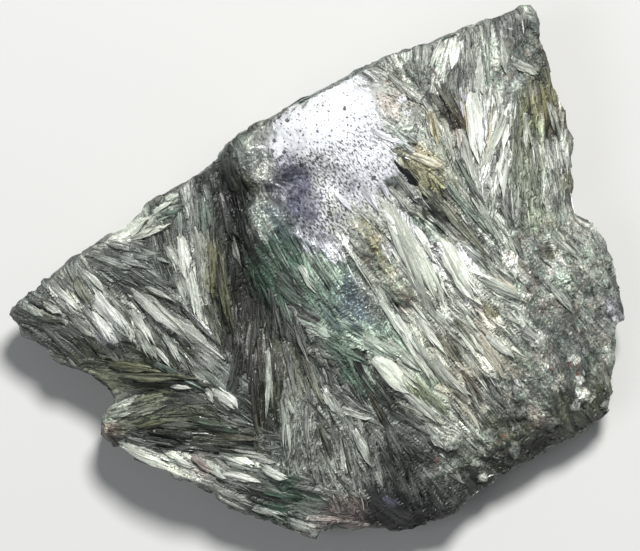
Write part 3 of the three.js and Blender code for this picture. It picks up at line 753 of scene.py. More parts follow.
def stoneSkin():
    # fibrous ground, the speckled polish of the dome, and the coarse granular end
    material, start, shader = newMaterial("stoneSkin")
    place = start.node("ShaderNodeTexCoord", {}, {}, 3)
    place = start.node("ShaderNodeVectorMath", {"operation": "SCALE"}, {0: place, "Scale": 1 / mm})
    grain = start.attribute("grain", 1)
    polish, coarse, sparkle = start.attribute("kind", 1).parts()
    fibrous, height, hairs = fibreLight(grain, skin)

    # polished dome: an oval painted highlight, clear of marks, with the marked part growing round it
    x, y = place.parts()[:2]
    coreX, coreY, turn, halfLength, halfWidth = skin["core"]
    c, s = math.cos(math.radians(turn)), math.sin(math.radians(turn))
    along = ((x - coreX) * c + (y - coreY) * s) / halfLength
    across = ((y - coreY) * c - (x - coreX) * s) / halfWidth
    cloud = place.noise(2.4, 3, 0.6)
    beyondHighlight = (along * along + across * across + (cloud - 0.5) * 2.0).within(0.5, 2.0)

    # ragged black dots in the painted highlight, and dark ticks that crowd beyond it
    ragged = place.noise(0.35, 2, 0.6) - 0.5
    bent = place.vector(x + ragged * 0.7, y - ragged * 0.5, 0.0)
    dots = 0
    leftward = (1 - x.within(-5.0, 3.0)) * 0.25
    for size, share, low, high in skin["dots"]:
        chosen = bent.cells(size, "F1", 1, "2D").parts()
        apart = bent.cells(size, "F1", 0, "2D") - chosen[1] * chosen[1] * 0.08
        dots = dots + (1 - apart.within(low, high)) * (chosen[0] + leftward).within(share, share + 0.02)
    dots = dots.within(0.0, 1.0)
    width, length, turn = skin["tick"]
    c, s = math.cos(math.radians(turn)), math.sin(math.radians(turn))
    ticks = place.vector((y * c - x * s) / width, (x * c + y * s) / length, 0.0).noise(1, 2, 0.55)
    faint = x.within(1.0, 11.0) * 0.06
    pitted = (1 - (ticks + faint + (1 - beyondHighlight) * 0.16).within(0.42, 0.5)) * beyondHighlight.within(0.1, 0.5)
    specks = place.noise(0.2, 2, 0.6)
    smudge = 1 - start.attribute("tone", 0).parts()[1].within(0.12, 0.5)
    polished = (1 - dots * 0.85) * (1 - pitted * (0.78 - smudge * 0.4))
    polished = polished * (cloud.within(0.35, 0.6) * 0.1 + 0.92)
    polished = polished * (1 - (1 - specks.within(0.36, 0.5)) * beyondHighlight * 0.3)
    polished = polished * (1 + (ticks.within(0.52, 0.62) * 0.3 - 0.05) * beyondHighlight)
    polished = polished * (1 + (place.noise(0.9, 3, 0.7) - 0.5) * smudge * 4.5)

    # coarse end: speckled by fine grains that drift from pinkish to greenish
    across, along, seed = grain.parts()
    drawn = grain.vector(across, along * 0.6, seed)
    grains = drawn.cells(skin["grain"], "F1", 1).parts()
    gaps = drawn.cells(skin["grain"], "DISTANCE_TO_EDGE").within(0.0, 0.12)
    fine = place.noise(0.36, 3, 0.7)
    mottle = drawn.noise(1.4, 3, 0.6)
    granular = (grains[0] * 0.5 + 0.75) * (gaps * 0.25 + 0.75) * (mottle.within(0.34, 0.64) * 0.8 + 0.6)
    granular = granular * (1 - (1 - fine.within(0.38, 0.47)) * 0.6) * (1 + fine.within(0.54, 0.64) * 0.7)
    holes = 1 - place.noise(0.8, 2, 0.5).within(0.28, 0.33)
    granular = granular * (fibrous * 0.6 + 0.5) * (1 - holes * 0.8)
    # the sparkling band: speckled grain, with painted glints as its brightest specks
    sparkling = fine.within(0.55, 0.63) * 3.0 + fine.within(0.3, 0.6) * 0.6 + 0.6

    # painted glints: fine white specks made lighter in the fibrous ground's colour
    fibrous = fibrous * (1 + place.noise(0.17, 2, 0.6).within(0.62, 0.7) * 0.9)
    light = fibrous * (1 - polish) + polished * polish
    light = light * (1 - coarse) + granular * coarse
    light = light * (1 - sparkle) + sparkling * sparkle
    colour = start.attribute("tone", 0).shade(light)
    hue = place.noise(2.2, 2, 0.5)
    colour = colour.blend((1.1, 0.96, 0.92, 1), hue.within(0.52, 0.66) * coarse * 0.8, "MULTIPLY")
    colour = colour.blend((0.92, 1.04, 0.97, 1), (1 - hue.within(0.36, 0.5)) * coarse * 0.8, "MULTIPLY")
    rust = place.cells(0.9, "F1", 1).parts()[1].within(0.985, 0.99) * coarse * 0.4
    colour = colour.blend((0.2, 0.1, 0.06, 1), rust)
    colour.plug(shader, "Base Color")
    rough = 0.52 - hairs.within(0.2, 0.8) * 0.12 - polish * 0.16 - sparkle * 0.14 + coarse * 0.08
    rough.plug(shader, "Roughness")
    (polish * 0.5 + sparkle * 0.4).plug(shader, "Coat Weight")
    pits = specks * 0.6 - dots * 0.8 - pitted * 0.7
    height = height * (1 - polish) * (1 - coarse) + pits * polish
    height = height + (fine + gaps * 0.5 + grains[0] * 0.5) * (coarse + sparkle)
    bump = {"Strength": 0.9, "Distance": skin["relief"] * mm, "Height": height}
    start.node("ShaderNodeBump", {}, bump).plug(shader, "Normal")
    shader.inputs["IOR"].default_value = 1.56
    shader.inputs["Coat Roughness"].default_value = 0.2
    return material


def grainMatt():
    # dull broken grains, each mottled a little
    material, start, shader = newMaterial("grainMatt")
    mottle = start.attribute("grain", 1).noise(0.25, 3, 0.7).within(0.3, 0.7)
    start.attribute("tone", 0).shade(mottle * 0.6 + 0.7).plug(shader, "Base Color")
    (0.62 - mottle * 0.2).plug(shader, "Roughness")
    return material


body = {
    "weld": 0.001,  # mm within which two points are one
    "voxel": 0.7,  # mm between points of the sides, twice those of the top
    "sheaves": 1700,  # sheaves of fibre that its surface is broken along
    "stretch": 8,  # how much longer than wide a sheaf is
    "astray": 0.1,  # how far it strays from its way, as a slope
    "uneven": 0.35,  # how uneven their sizes are
    "lightUneven": 0.27,  # and how uneven their lightness is
    "thick": 0.8,  # how much a mm into the stone counts, beside one across a sheaf
    "near": 30,  # sheaves that a point may belong to
    "step": 0.24,  # mm that a sheaf stands over or under the next
    "lean": 0.2,  # how steeply its face may lean
    "stepLimit": 0.45,  # mm that both together may reach
    "dip": -0.7,  # how steeply the fibres run down where the top turns over
    "seam": 0.16,  # mm from the edge of a sheaf to where its groove is down to a third
    "groove": 0.2,  # mm depth of the deepest grooves
    # the grooves are darkened in colour as painted shade by:
    "seamShade": 0.4,  # how much darker they are
    "furrow": 0.07,  # mm depth of the furrows along the fibres
    "furrows": ((1, (0.8, 5, 1), 21), (0.6, (0.45, 3, 1), 22)),
    "calm": 0.6,  # share of that relief which the coarse end and the sparkling band lack
    "domeWaves": ((0.12, 2.5, 31), (0.08, 0.55, 32)),  # mm high, mm between swells, and a number
    "clods": ((0.45, 2.6, 41), (0.26, 1.1, 42), (0.14, 0.55, 43)),  # the same of the coarse end
    "bandClods": 0.5,  # how far the sparkling band has them
    "domeShare": 0.3,  # how far in the dome a point is made finer again
    "domeLow": 20,  # mm over the bed above which that is so
    "brow": (0.2, 0.3),  # upward part of the normal where the top begins, and over how much it takes over
    "under": -0.9,  # upward part of the normal below which a point faces the bed
    "upward": 0.3,  # upward part of the normal from which a point counts as the top
    "low": 3,  # mm over the bed under which nothing does
    "bed": 0.2,  # mm over the bed under which a point is set on it
    "foot": 1.2,  # mm over the bed where the relief fades out
    "plates": 330,  # broken plates of the sides
    "plateStretch": 2.4,
    "plateStep": 0.55,
    "plateLean": 0.35,
    "plateTurn": 0.4,  # how far it leans along its length, beside across it
    "plateDeep": 1.7,  # mm that one may lie back
    "plateOut": 0.4,  # mm that one may stand out
    "knobs": (0.25, 1.6, 0.2),  # mm high, mm between swells, and how far they lie back
    "sideCoarse": 0.6,  # how far the sides are coarse
    "sideBend": ((1.4, 7, 81),),  # mm that their fibres wave
    # the way of the sides' fibres, and two ways across it
    "sideFibres": ((0.79, 0.38, -0.48), (0.43, 0.21, 0.88), (0.43, -0.9, 0)),
    "sideDrawn": 0.55,  # how fine they are, beside those of the top
    "sideOwn": 0.8,  # how far the sides have finishes of their own
}


def sheafOf(points, root, normal, heading, stretch, random):
    # splits the surface in sheaves from these roots and gives each point its place in one
    along = heading - (heading * normal).sum(1)[:, None] * normal
    turn = random.normal(0, body["astray"], len(root))[:, None]
    along = unit(along + 1e-4)
    side = np.cross(normal, along)
    along = unit(along + turn * side)
    side = np.cross(normal, along)
    girth = np.exp(random.normal(0, body["uneven"], len(root)))
    tree = KDTree(len(root))
    for number, place in enumerate(root):
        tree.insert(place, number)
    tree.balance()
    near = np.array([[found[1] for found in tree.find_n(place, body["near"])] for place in points])
    offset = points[:, None] - root[near]
    reach = ((offset * along[near]).sum(2) / stretch) ** 2 + (offset * side[near]).sum(2) ** 2
    reach = np.sqrt(reach + (body["thick"] * (offset * normal[near]).sum(2)) ** 2) / girth[near]
    order = np.argpartition(reach, 1, axis=1)[:, :2]
    rows = np.arange(len(points))[:, None]
    order = np.take_along_axis(order, np.argsort(reach[rows, order], 1), 1)
    best = near[rows[:, 0], order[:, 0]]
    return {
        "roots": root, "alongs": along, "sides": side, "seeds": random.uniform(0, 100, len(root)),
        "best": best,
        "reach": reach[rows[:, 0], order[:, 0]],
        "edge": reach[rows[:, 0], order[:, 1]] - reach[rows[:, 0], order[:, 0]],
        "step": random.uniform(-1, 1, len(root))[best],
        "lean": random.uniform(-1, 1, len(root))[best],
        "light": np.exp(random.normal(0, body["lightUneven"], len(root)))[best],
        "cleft": random.uniform(0, 1, len(root))[best] ** 1.5,
    }


def grainOf(sheaf, points, owner):
    # place of each point in its sheaf: mm across and along it, and the sheaf's own number
    offset = points - sheaf["roots"][owner]
    across = (offset * sheaf["sides"][owner]).sum(1)
    along = (offset * sheaf["alongs"][owner]).sum(1)
    return np.column_stack([across, along, sheaf["seeds"][owner]])


def sideGrain(points):
    # the same on the broken sides, whose fibres all run one way
    along, first, second = body["sideFibres"]
    bend = waves(points, body["sideBend"])
    return np.column_stack([points @ first + bend, points @ along, (points @ second - bend) * 2])


def layGrain(mesh, sheaf, points, topShare):
    # every face is laid out by one sheaf, or by the sides' fibres, so that none is smeared
    count = len(mesh.loops)
    vertex, start = np.zeros(count, np.int32), np.zeros(len(mesh.polygons), np.int32)
    mesh.loops.foreach_get("vertex_index", vertex)
    mesh.polygons.foreach_get("loop_start", start)
    face = np.zeros(count, np.int64)
    face[start[1:]] = 1
    face = face.cumsum()
    order = np.lexsort((-sheaf["reach"][vertex], face))
    owner = np.zeros(len(start), np.int64)
    owner[face[order]] = sheaf["best"][vertex[order]]
    top = np.zeros(len(start))
    np.maximum.at(top, face, topShare[vertex])
    laid = grainOf(sheaf, points[vertex], owner[face])
    laid = np.where((top > 0.5)[face][:, None], laid, body["sideDrawn"] * sideGrain(points)[vertex])
    attribute = mesh.attributes.new("grain", "FLOAT_VECTOR", "CORNER")
    attribute.data.foreach_set("vector", laid.astype(np.float32).ravel())


def platesOf(points, normals, topShare):
    # the leaning plates that the sides are broken in, the points they cover and how far those stand out
    random = np.random.default_rng(6)
    flank = np.flatnonzero(topShare < 1)
    chosen = random.choice(np.flatnonzero(topShare < 0.2), body["plates"], replace=False)
    heading = np.tile(body["sideFibres"][0], (len(chosen), 1))
    stretch = body["plateStretch"]
    plates = sheafOf(points[flank], points[chosen], unit(normals[chosen]), heading, stretch, random)
    place = grainOf(plates, points[flank], plates["best"])
    out = body["plateStep"] * (plates["step"] - 0.05) + body["plateLean"] * plates["lean"] * place[:, 0]
    out += body["plateLean"] * body["plateTurn"] * (plates["cleft"] - 0.5) * place[:, 1]
    return plates, flank, np.clip(out, -body["plateDeep"], body["plateOut"])


def makeBody():
    work = bmesh.new()
    work.from_mesh(stone.data)
    bmesh.ops.remove_doubles(work, verts=work.verts, dist=body["weld"] * mm)
    blank = meshFrom(work, "stoneBlank")
    mesh = withModifier(blank, "REMESH", {"mode": "VOXEL", "voxel_size": body["voxel"] * mm})

    # finer on the top and finer again on the dome, with the flat bed as few large faces
    work = bmesh.new()
    work.from_mesh(mesh)
    raised = {vert for vert in work.verts if vert.co.z > body["low"] * mm}
    upward = {vert for vert in raised if vert.normal.z > body["upward"]}
    for chosen in (upward, None):
        if chosen is None:
            work.verts.ensure_lookup_table()
            plan = np.array([vert.co[:2] for vert in work.verts]) / mm
            share = zoneShare("polish", plan)
            high = {vert for vert in work.verts if vert.co.z > body["domeLow"] * mm}
            chosen = {vert for vert in high if share[vert.index] > body["domeShare"]}
        edges = [edge for edge in work.edges if all(vert in chosen for vert in edge.verts)]
        bmesh.ops.subdivide_edges(work, edges=edges, cuts=1, use_grid_fill=True)
        work.verts.index_update()
    for vert in work.verts:
        vert.co.z = 0 if vert.co.z < body["bed"] * mm else vert.co.z
    bed = [face for face in work.faces if all(vert.co.z <= 0 for vert in face.verts)]
    bmesh.ops.delete(work, geom=bed, context="FACES")
    rim = [edge for edge in work.edges if edge.is_boundary]
    filled = bmesh.ops.holes_fill(work, edges=rim, sides=0)["faces"]
    bmesh.ops.triangulate(work, faces=filled)
    bmesh.ops.recalc_face_normals(work, faces=work.faces)
    mesh = meshFrom(work, "stoneBody")

    points = readPlaces(mesh)
    normals = np.zeros(len(points) * 3, np.float32)
    mesh.vertex_normals.foreach_get("vector", normals)
    normals = normals.reshape(-1, 3).astype(float)
    plan = points[:, :2]
    topShare = np.clip((normals[:, 2] - body["brow"][0]) / body["brow"][1], 0, 1)
    foot = np.clip(points[:, 2] / body["foot"], 0, 1) * (normals[:, 2] > body["under"])
    polish = zoneShare("polish", plan) * topShare
    coarse = np.maximum(zoneShare("coarse", plan), body["sideCoarse"] * (1 - topShare))
    sparkle = zoneShare("sparkle", plan) * topShare
    random = np.random.default_rng(5)
    chosen = random.choice(len(points), body["sheaves"], replace=False)
    heading = np.column_stack([flowAt(plan[chosen])[0], body["dip"] * (1 - topShare[chosen])])
    sheaf = sheafOf(points, points[chosen], unit(normals[chosen]), heading, body["stretch"], random)

    grain = grainOf(sheaf, points, sheaf["best"])
    layGrain(mesh, sheaf, points, topShare)

    relief = body["step"] * sheaf["step"] + body["lean"] * sheaf["lean"] * grain[:, 0]
    relief = np.clip(relief, -body["stepLimit"], body["stepLimit"])
    relief += body["furrow"] * waves(grain, body["furrows"])
    relief -= body["groove"] * sheaf["cleft"] * np.exp(-((sheaf["edge"] / body["seam"]) ** 2))
    relief *= topShare
    relief *= (1 - polish) * (1 - body["calm"] * coarse) * (1 - body["calm"] * sparkle)
    relief += polish * waves(points, body["domeWaves"])
    clods = np.maximum(coarse, body["bandClods"] * sparkle) * waves(points, body["clods"])
    relief += clods + topShare * (ridgeAt(plan) + lumpsAt(plan)[0])
    plates, flank, depth = platesOf(points, normals, topShare)
    relief[flank] += (1 - topShare[flank]) * depth
    knobHeight, knobSize, knobBack = body["knobs"]
    relief += (1 - topShare) * knobHeight * (softNoise(points, knobSize, 51) - knobBack)
    for x, y, reach, out in bulges:
        gap = np.hypot(plan[:, 0] - x, plan[:, 1] - y)
        relief += (1 - topShare) * out * np.exp(-((gap / reach) ** 2))
    points = points + normals * (relief * foot)[:, None]
    setPlaces(mesh, points)

    setAttribute(mesh, "kind", "FLOAT_VECTOR", np.column_stack([polish, coarse, sparkle]))
    surface = {
        "points": points, "normals": normals, "topShare": topShare,
        "coarse": coarse, "polish": polish, "sheaf": sheaf, "grain": grain,
        "plates": plates, "flank": flank,
    }

    print("the stone has", sum(len(face.vertices) - 2 for face in mesh.polygons), "triangles")
    piece = addPiece("stoneBody", mesh, stoneSkin())
    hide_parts("serpentinite")
    return piece, surface


cover = {
    "own": 0.55,  # how far each sheaf keeps one finish of its own
    "drift": 0.7,  # mm that a patch wanders along the fibres
    "lump": 0.7,  # how far a lump shows its finish
    "seam": 0.25,  # mm from the edge of a sheaf to where its shade ends
    "rib": (2.6, 10, 5),  # of the sides' streaks: mm across and along, and half mm deep
    # finishes of the sides over the slate: from what noise each begins, and where it is full
    "sides": (
        ("moss", 0, 0.6), ("grey", 0.05, 0.6), ("dark", 0.15, 0.6), ("green", 0.4, 0.8), ("pale", 0.4, 0.8),
    ),
    # painted shade in the cracks between the sides' plates:
    "plateSeam": 0.5,  # mm from the edge of a plate to where its shade ends
    "plateShade": 0.45,  # how much darker it is
    # painted shade that darkens all the sides:
    "sidePaintedShade": 0.85,
}


def sideTone(surface):
    # dull finishes drawn out along the fibres of the broken sides, a little different from plate to plate,
    # with painted shade in the plates' cracks and over all the sides
    points = surface["points"]
    rib = sideGrain(points) / cover["rib"]
    tone = np.tile(paint("slate"), (len(points), 1))
    for number, (name, low, high) in enumerate(cover["sides"]):
        share = softNoise(rib, 1, 91 + number) + 0.6 * softNoise(points, 6, 96 + number)
        tone += np.clip((share - low) / (high - low), 0, 1)[:, None] * (paint(name) - tone)
    plates = surface["plates"]
    # painted shade in the cracks between plates
    seams = 1 - np.clip(plates["edge"] / cover["plateSeam"], 0, 1)
    seams = 1 - cover["plateShade"] * plates["cleft"] * seams
    tone[surface["flank"]] *= (plates["light"] * seams)[:, None]
    # painted shade over all the sides
    return tone * cover["sidePaintedShade"]


def paintBody(piece, surface, paintedShading):
    # patches of finishes, drawn out by the fibres, with each sheaf a little of one finish; painted shade in
    # the grooves and hollows, painted light on the crests
    plan, sheaf, polish = surface["points"][:, :2], surface["sheaf"], surface["polish"][:, None]
    drift = np.column_stack([softNoise(surface["grain"], 1, number) for number in (61, 62)])
    own = cover["own"] * (1 - polish)
    sheafTone = stainAt(sheaf["roots"][:, :2])[sheaf["best"]]
    tone = stainAt(plan + cover["drift"] * drift) * (1 - own) + sheafTone * own
    share, finish = lumpsAt(plan)[1:]
    tone += (share * cover["lump"])[:, None] * (finish - tone)
    # painted shade in the grooves along the sheaves' edges
    seams = 1 - np.clip(sheaf["edge"] / cover["seam"], 0, 1)
    seams = 1 - body["seamShade"] * sheaf["cleft"] * seams
    tone *= (seams * sheaf["light"])[:, None] ** ((1 - polish) * surface["topShare"][:, None])
    blunt = (1 - surface["topShare"])[:, None]
    tone += blunt * body["sideOwn"] * (sideTone(surface) - tone)
    # painted shade in the hollows and painted light on the crests, left off the polish and the sides
    hollow = paintedShadeAt(paintedShading, plan)
    tone *= (hollow + (1 - hollow) * np.maximum(surface["polish"], 1 - surface["topShare"]))[:, None]
    surface["tone"] = tone
    setTone(piece.data, tone)


# the ground's heights, from which painted shade is laid in its hollows and painted light on its crests
survey = {
    "step": 0.25,  # mm between rays
    "top": 45,  # mm over the bed where they start
    "near": 1.0,  # mm over which a small hollow is judged
    "far": 4.0,  # mm over which a valley is
    "nearShade": 0.55,  # how much darker each mm of hollow is
    "farShade": 0.16,
    "range": (0.4, 1.35),
    # the painted shading given where there is no ground:
    "unknown": 0.8,  # how light a place is that has no ground
}


def treeOf(piece):
    work = bmesh.new()
    work.from_mesh(piece.data)
    tree = BVHTree.FromBMesh(work)
    work.free()
    return tree


def surveyGround(tree):
    # heights of the finished ground on a grid, and no number where there is none
    low, high = np.array(cadLow) / mm, np.array(cadHigh) / mm
    across = np.arange(low[0], high[0], survey["step"])
    up = np.arange(low[1], high[1], survey["step"])
    heights = np.full((len(across), len(up)), np.nan)
    for column, x in enumerate(across):
        for row, y in enumerate(up):
            hit = tree.ray_cast(Vector((x, y, survey["top"])) * mm, Vector((0, 0, -1)))
            if hit[0] is not None:
                heights[column, row] = hit[0].z / mm
    return heights, low[:2]


def heightAt(ground, plan):
    heights, corner = ground
    place = (plan - corner) / survey["step"]
    limit = np.array(heights.shape) - 1.001
    inside = ((place >= 0) & (place <= limit)).all(-1)
    place = np.clip(place, 0, limit)
    cell = np.floor(place).astype(int)
    share = place - cell
    total = np.zeros(plan.shape[:-1])
    for stepX in (0, 1):
        for stepY in (0, 1):
            weight = np.where(stepX, share[..., 0], 1 - share[..., 0])
            weight = weight * np.where(stepY, share[..., 1], 1 - share[..., 1])
            total = total + weight * heights[cell[..., 0] + stepX, cell[..., 1] + stepY]
    return np.where(inside, total, np.nan)


def smoothed(heights, reach):
    # heights averaged over a square, leaving out what has none
    known = ~np.isnan(heights)
    steps = int(reach / survey["step"])
    total, share = np.where(known, heights, 0), known.astype(float)
    for axis in (0, 0, 1, 1):
        total = sum(np.roll(total, shift, axis) for shift in range(-steps, steps + 1))
        share = sum(np.roll(share, shift, axis) for shift in range(-steps, steps + 1))
    return total / np.maximum(share, 1e-6)


def paintHollowsAndCrests(ground):
    # painted shade and light: how much darker each place is painted for lying in a hollow, and how much
    # lighter for lying on a crest
    heights, corner = ground
    light = 1 + survey["nearShade"] * (heights - smoothed(heights, survey["near"]))
    light = light + survey["farShade"] * (heights - smoothed(heights, survey["far"]))
    return np.clip(light, *survey["range"]), corner


def paintedShadeAt(paintedShading, plan):
    light = heightAt(paintedShading, plan)
    return np.where(np.isnan(light), survey["unknown"], light)


blade = {
    "places": (0, 0.2, 0.5, 0.8, 1),  # along it, where these are given
    "keel": 0.5,  # mm of it that is buried
    "sink": 0.2,  # mm of its root under the ground
    # painted shade on each blade: darker towards its root and on its underside
    "rootShade": 0.6,  # how light its root is, as a share of its tip
    "shadeEnd": 0.6,  # how far along it is fully light
    "underShade": 0.45,  # how light its underside is
    "underWidth": 0.6,  # how wide its underside is, as a share of its top
    "ridge": 0.25,  # of its width that its crest may lie to a side
    "ragged": 0.1,  # how ragged its edges are
    "bend": 0.03,  # of its length that its tip may bend aside
    "wave": (0.06, 0.04),  # of its width, and mm, that it waves
    "round": 1.8,  # power of its rounding across
    "follow": 0.5,  # how far it follows the ground beyond one smooth bow
    "leastReach": 0.5,  # mm to each side where the slope under it is felt, or more
    "misfit": 0.7,  # mm of hollow or hump under it before it is left out
    "steep": 0.9,  # slope across it before it is left out
    "unfit": 99,  # misfit that is given where the ground is too steep or missing
}

# Kinds of blade: rings along it and cuts along its length, its width and height at its places, its
# crest as a share of its width, how slantwise its tip may end, how far it may roll, how ridged it is,
# the power by which it climbs out of the ground, and how much it may widen on the way
kinds = {
    "lead": {
        "stations": (0, 0.08, 0.2, 0.34, 0.48, 0.62, 0.75, 0.86, 0.94, 1),
        "cuts": (-0.34, -0.17, 0, 0.17, 0.34),
        "waist": (0.5, 0.85, 1, 0.85, 0.12), "swell": (0.4, 0.8, 1, 0.85, 0.2),
        "crest": (0.08, 0.16), "slant": (0.1, 0.35), "roll": (-4, 12), "ridged": 0.35, "climb": 0.35,
        "flare": (-0.3, 0.3),
    },
    "split": {
        "stations": (0, 0.12, 0.3, 0.5, 0.7, 0.87, 1), "cuts": (-0.25, 0, 0.25),
        "waist": (0.4, 0.85, 1, 0.8, 0.1), "swell": (0.4, 0.8, 1, 0.85, 0.2),
        "crest": (0.08, 0.2), "slant": (0.05, 0.3), "roll": (-8, 12), "ridged": 0.3, "climb": 0.3,
        "flare": (-0.3, 0.3),
    },
    "vane": {
        "stations": (0, 0.12, 0.3, 0.5, 0.7, 0.87, 1), "cuts": (-0.25, 0, 0.25),
        "waist": (0.4, 0.8, 1, 0.8, 0.12), "swell": (0.4, 0.8, 1, 0.85, 0.2),
        "crest": (0.06, 0.16), "slant": (0.05, 0.3), "roll": (-8, 14), "ridged": 0.3, "climb": 1,
        "flare": (-0.3, 0.4),
    },
    "sliver": {
        "stations": (0, 0.2, 0.5, 0.8, 1), "cuts": (0,),
        "waist": (0.3, 0.8, 1, 0.75, 0.08), "swell": (0.3, 0.8, 1, 0.85, 0.15),
        "crest": (0.15, 0.4), "slant": (0, 0), "roll": (-15, 15), "ridged": 0, "climb": 1.2,
        "flare": (-0.3, 0.3),
    },
}


def bladeBlank(kind):
    work = bmesh.new()
    bmesh.ops.create_cube(work, size=1)
    bmesh.ops.translate(work, verts=work.verts, vec=(0.5, 0, -0.5))
    planes = [((place, 0, 0), (1, 0, 0)) for place in kind["stations"][1:-1]]
    planes += [((0, place, 0), (0, 1, 0)) for place in kind["cuts"]]
    for place, heading in planes:
        everything = [*work.verts, *work.edges, *work.faces]
        bmesh.ops.bisect_plane(work, geom=everything, plane_co=place, plane_no=heading)
    return meshFrom(work, "bladeBlank")


def column(values):
    return np.asarray(values, float)[:, None]


def numbered(values):
    # which of its different values each one is
    return np.unique(values.round(4), return_inverse=True)[1]


def growBlades(rows, kind, random, drawn=1):
    # rows: root, axis, side, up, length, width, tone, bed (heights under it at five places), slope
    # across it, and lift of its tip. drawn: how fine its fibres are
    blank = bladeBlank(kind)
    shape = readPlaces(blank) * mm
    count = len(rows["length"])
    offset = {"count": count, "use_relative_offset": False, "use_constant_offset": True}
    mesh = withModifier(blank, "ARRAY", offset)
    s, t, under = shape[:, 0], shape[:, 1], shape[:, 2] < -0.5
    length, width = column(rows["length"]), column(rows["width"])
    ring, rib = numbered(s), numbered(t)

    ridge = column(random.uniform(-blade["ridge"], blade["ridge"], count)) * (1 - 2 * abs(t))
    flare = 1 + column(random.uniform(*kind["flare"], count)) * (s - 0.4)
    waist = np.interp(s, blade["places"], kind["waist"]) * flare
    swell = np.interp(s, blade["places"], kind["swell"])
    ragged = random.normal(0, blade["ragged"], (count, ring.max() + 1, 2))
    ragged = 1 + ragged[:, ring, (t > 0).astype(int)]
    across = (t + ridge) * waist * ragged * np.where(under, blade["underWidth"], 1) * width
    wave = np.sin(s * column(random.uniform(2, 6, count)) + column(random.uniform(0, 6, count)))
    wave = wave * (blade["wave"][0] * width + blade["wave"][1])
    bend = column(random.normal(0, blade["bend"], count)) * length * s**2 + wave
    ribs = 1 + random.normal(0, kind["ridged"], (count, rib.max() + 1))[:, rib]
    crest = column(random.uniform(*kind["crest"], count)) * width * ribs
    rise = crest * swell * (1 - (2 * abs(t)) ** blade["round"])
    rise = np.where(under, -blade["keel"] * swell, rise)
    roll = column(np.tan(np.radians(random.uniform(*kind["roll"], count))))
    fifth = s * 4
    lower = np.minimum(fifth.astype(int), 3)
    bed = rows["bed"][:, lower] * (1 - fifth + lower) + rows["bed"][:, lower + 1] * (fifth - lower)
    lift = -blade["sink"] + (blade["sink"] + column(rows["lift"])) * s ** kind["climb"]
    height = bed + lift + rise + across * (roll + column(rows["slope"]))
    slant = column(random.uniform(*kind["slant"], count))
    slant = slant * (0.5 + column(random.choice((-1, 1), count)) * t)
    along = length * s * (1 - slant)

    points = rows["root"][:, None] + rows["axis"][:, None] * along[..., None]
    points = points + rows["side"][:, None] * (across + bend)[..., None]
    points = points + rows["up"][:, None] * height[..., None]
    setPlaces(mesh, points.reshape(-1, 3))

    seed = column(random.uniform(0, 500, count)) + 0 * s
    grain = np.stack([across * drawn, along * drawn, seed], -1).reshape(-1, 3)
    setAttribute(mesh, "grain", "FLOAT_VECTOR", grain)
    # painted shade: darker towards the root and on the underside
    shadeAlong = blade["rootShade"] + (1 - blade["rootShade"]) * np.minimum(s / blade["shadeEnd"], 1)
    shadeAlong = shadeAlong * np.where(under, blade["underShade"], 1)
    tone = rows["tone"][:, None] * shadeAlong[None, :, None]
    setTone(mesh, tone.reshape(-1, 3))
    return mesh


def layRows(ground, root, tip, width, tone, lift):
    # lays blades on the ground: the heights under each at five places, the slope across it, and how
    # badly it fits
    share = np.linspace(0, 1, 5)
    run = tip - root
    length = np.linalg.norm(run, axis=1)
    axis = run / length[:, None]
    side = np.column_stack([-axis[:, 1], axis[:, 0]])
    middle = root[:, None] + run[:, None] * share[None, :, None]
    bed = heightAt(ground, middle)
    missing = np.isnan(bed).any(1)
    for number in np.flatnonzero(missing):
        known = ~np.isnan(bed[number])
        bed[number] = np.interp(share, share[known], bed[number][known]) if known.any() else 0
    halfWidth = np.maximum(width * 0.5, blade["leastReach"])
    reach = halfWidth[:, None, None] * side[:, None]
    tilt = (heightAt(ground, middle + reach) - heightAt(ground, middle - reach))[:, 1:4]
    slope = np.where(np.isnan(tilt), 0, tilt).mean(1) / (2 * halfWidth)
    fit = np.polynomial.polynomial.polyfit(share, bed.T, 2)
    smooth = np.polynomial.polynomial.polyval(share, fit)
    misfit = abs(smooth - bed).max(1)
    misfit[(abs(slope) > blade["steep"]) | missing] = blade["unfit"]
    flat = np.zeros((len(root), 1))
    rows = {
        "root": np.hstack([root, flat]), "axis": np.hstack([axis, flat]),
        "side": np.hstack([side, flat]), "up": np.hstack([flat, flat, flat + 1]),
        "length": length, "width": width, "tone": tone, "bed": smooth + blade["follow"] * (bed - smooth),
        "slope": np.clip(slope, -1, 1), "lift": lift,
    }
    return rows, misfit


def turned(flow, degrees):
    c, s = np.cos(np.radians(degrees)), np.sin(np.radians(degrees))
    return np.column_stack([flow[:, 0] * c - flow[:, 1] * s, flow[:, 0] * s + flow[:, 1] * c])


lead = {
    "light": 1.05,  # of its finish
    "bright": (0.35, 0.8),  # how far a dark one and a pale one keep their own finish
    "tipLift": 0.42,  # mm of its tip over the ground
    "splits": 1.4,  # thinner blades that lie on it, for each mm of its width
    "splitWidth": (0.18, 0.4),  # of its own width
    "splitReach": 0.38,  # of its width that they may lie to a side
    "splitUneven": 0.16,  # how uneven their lightness is
    "proud": 0.1,  # mm that they stand over it
    "crown": 0.08,  # and more in its middle, for each mm of its width
    "misfit": 1.2,  # mm of hollow or hump under a thinner one before it is left out
}


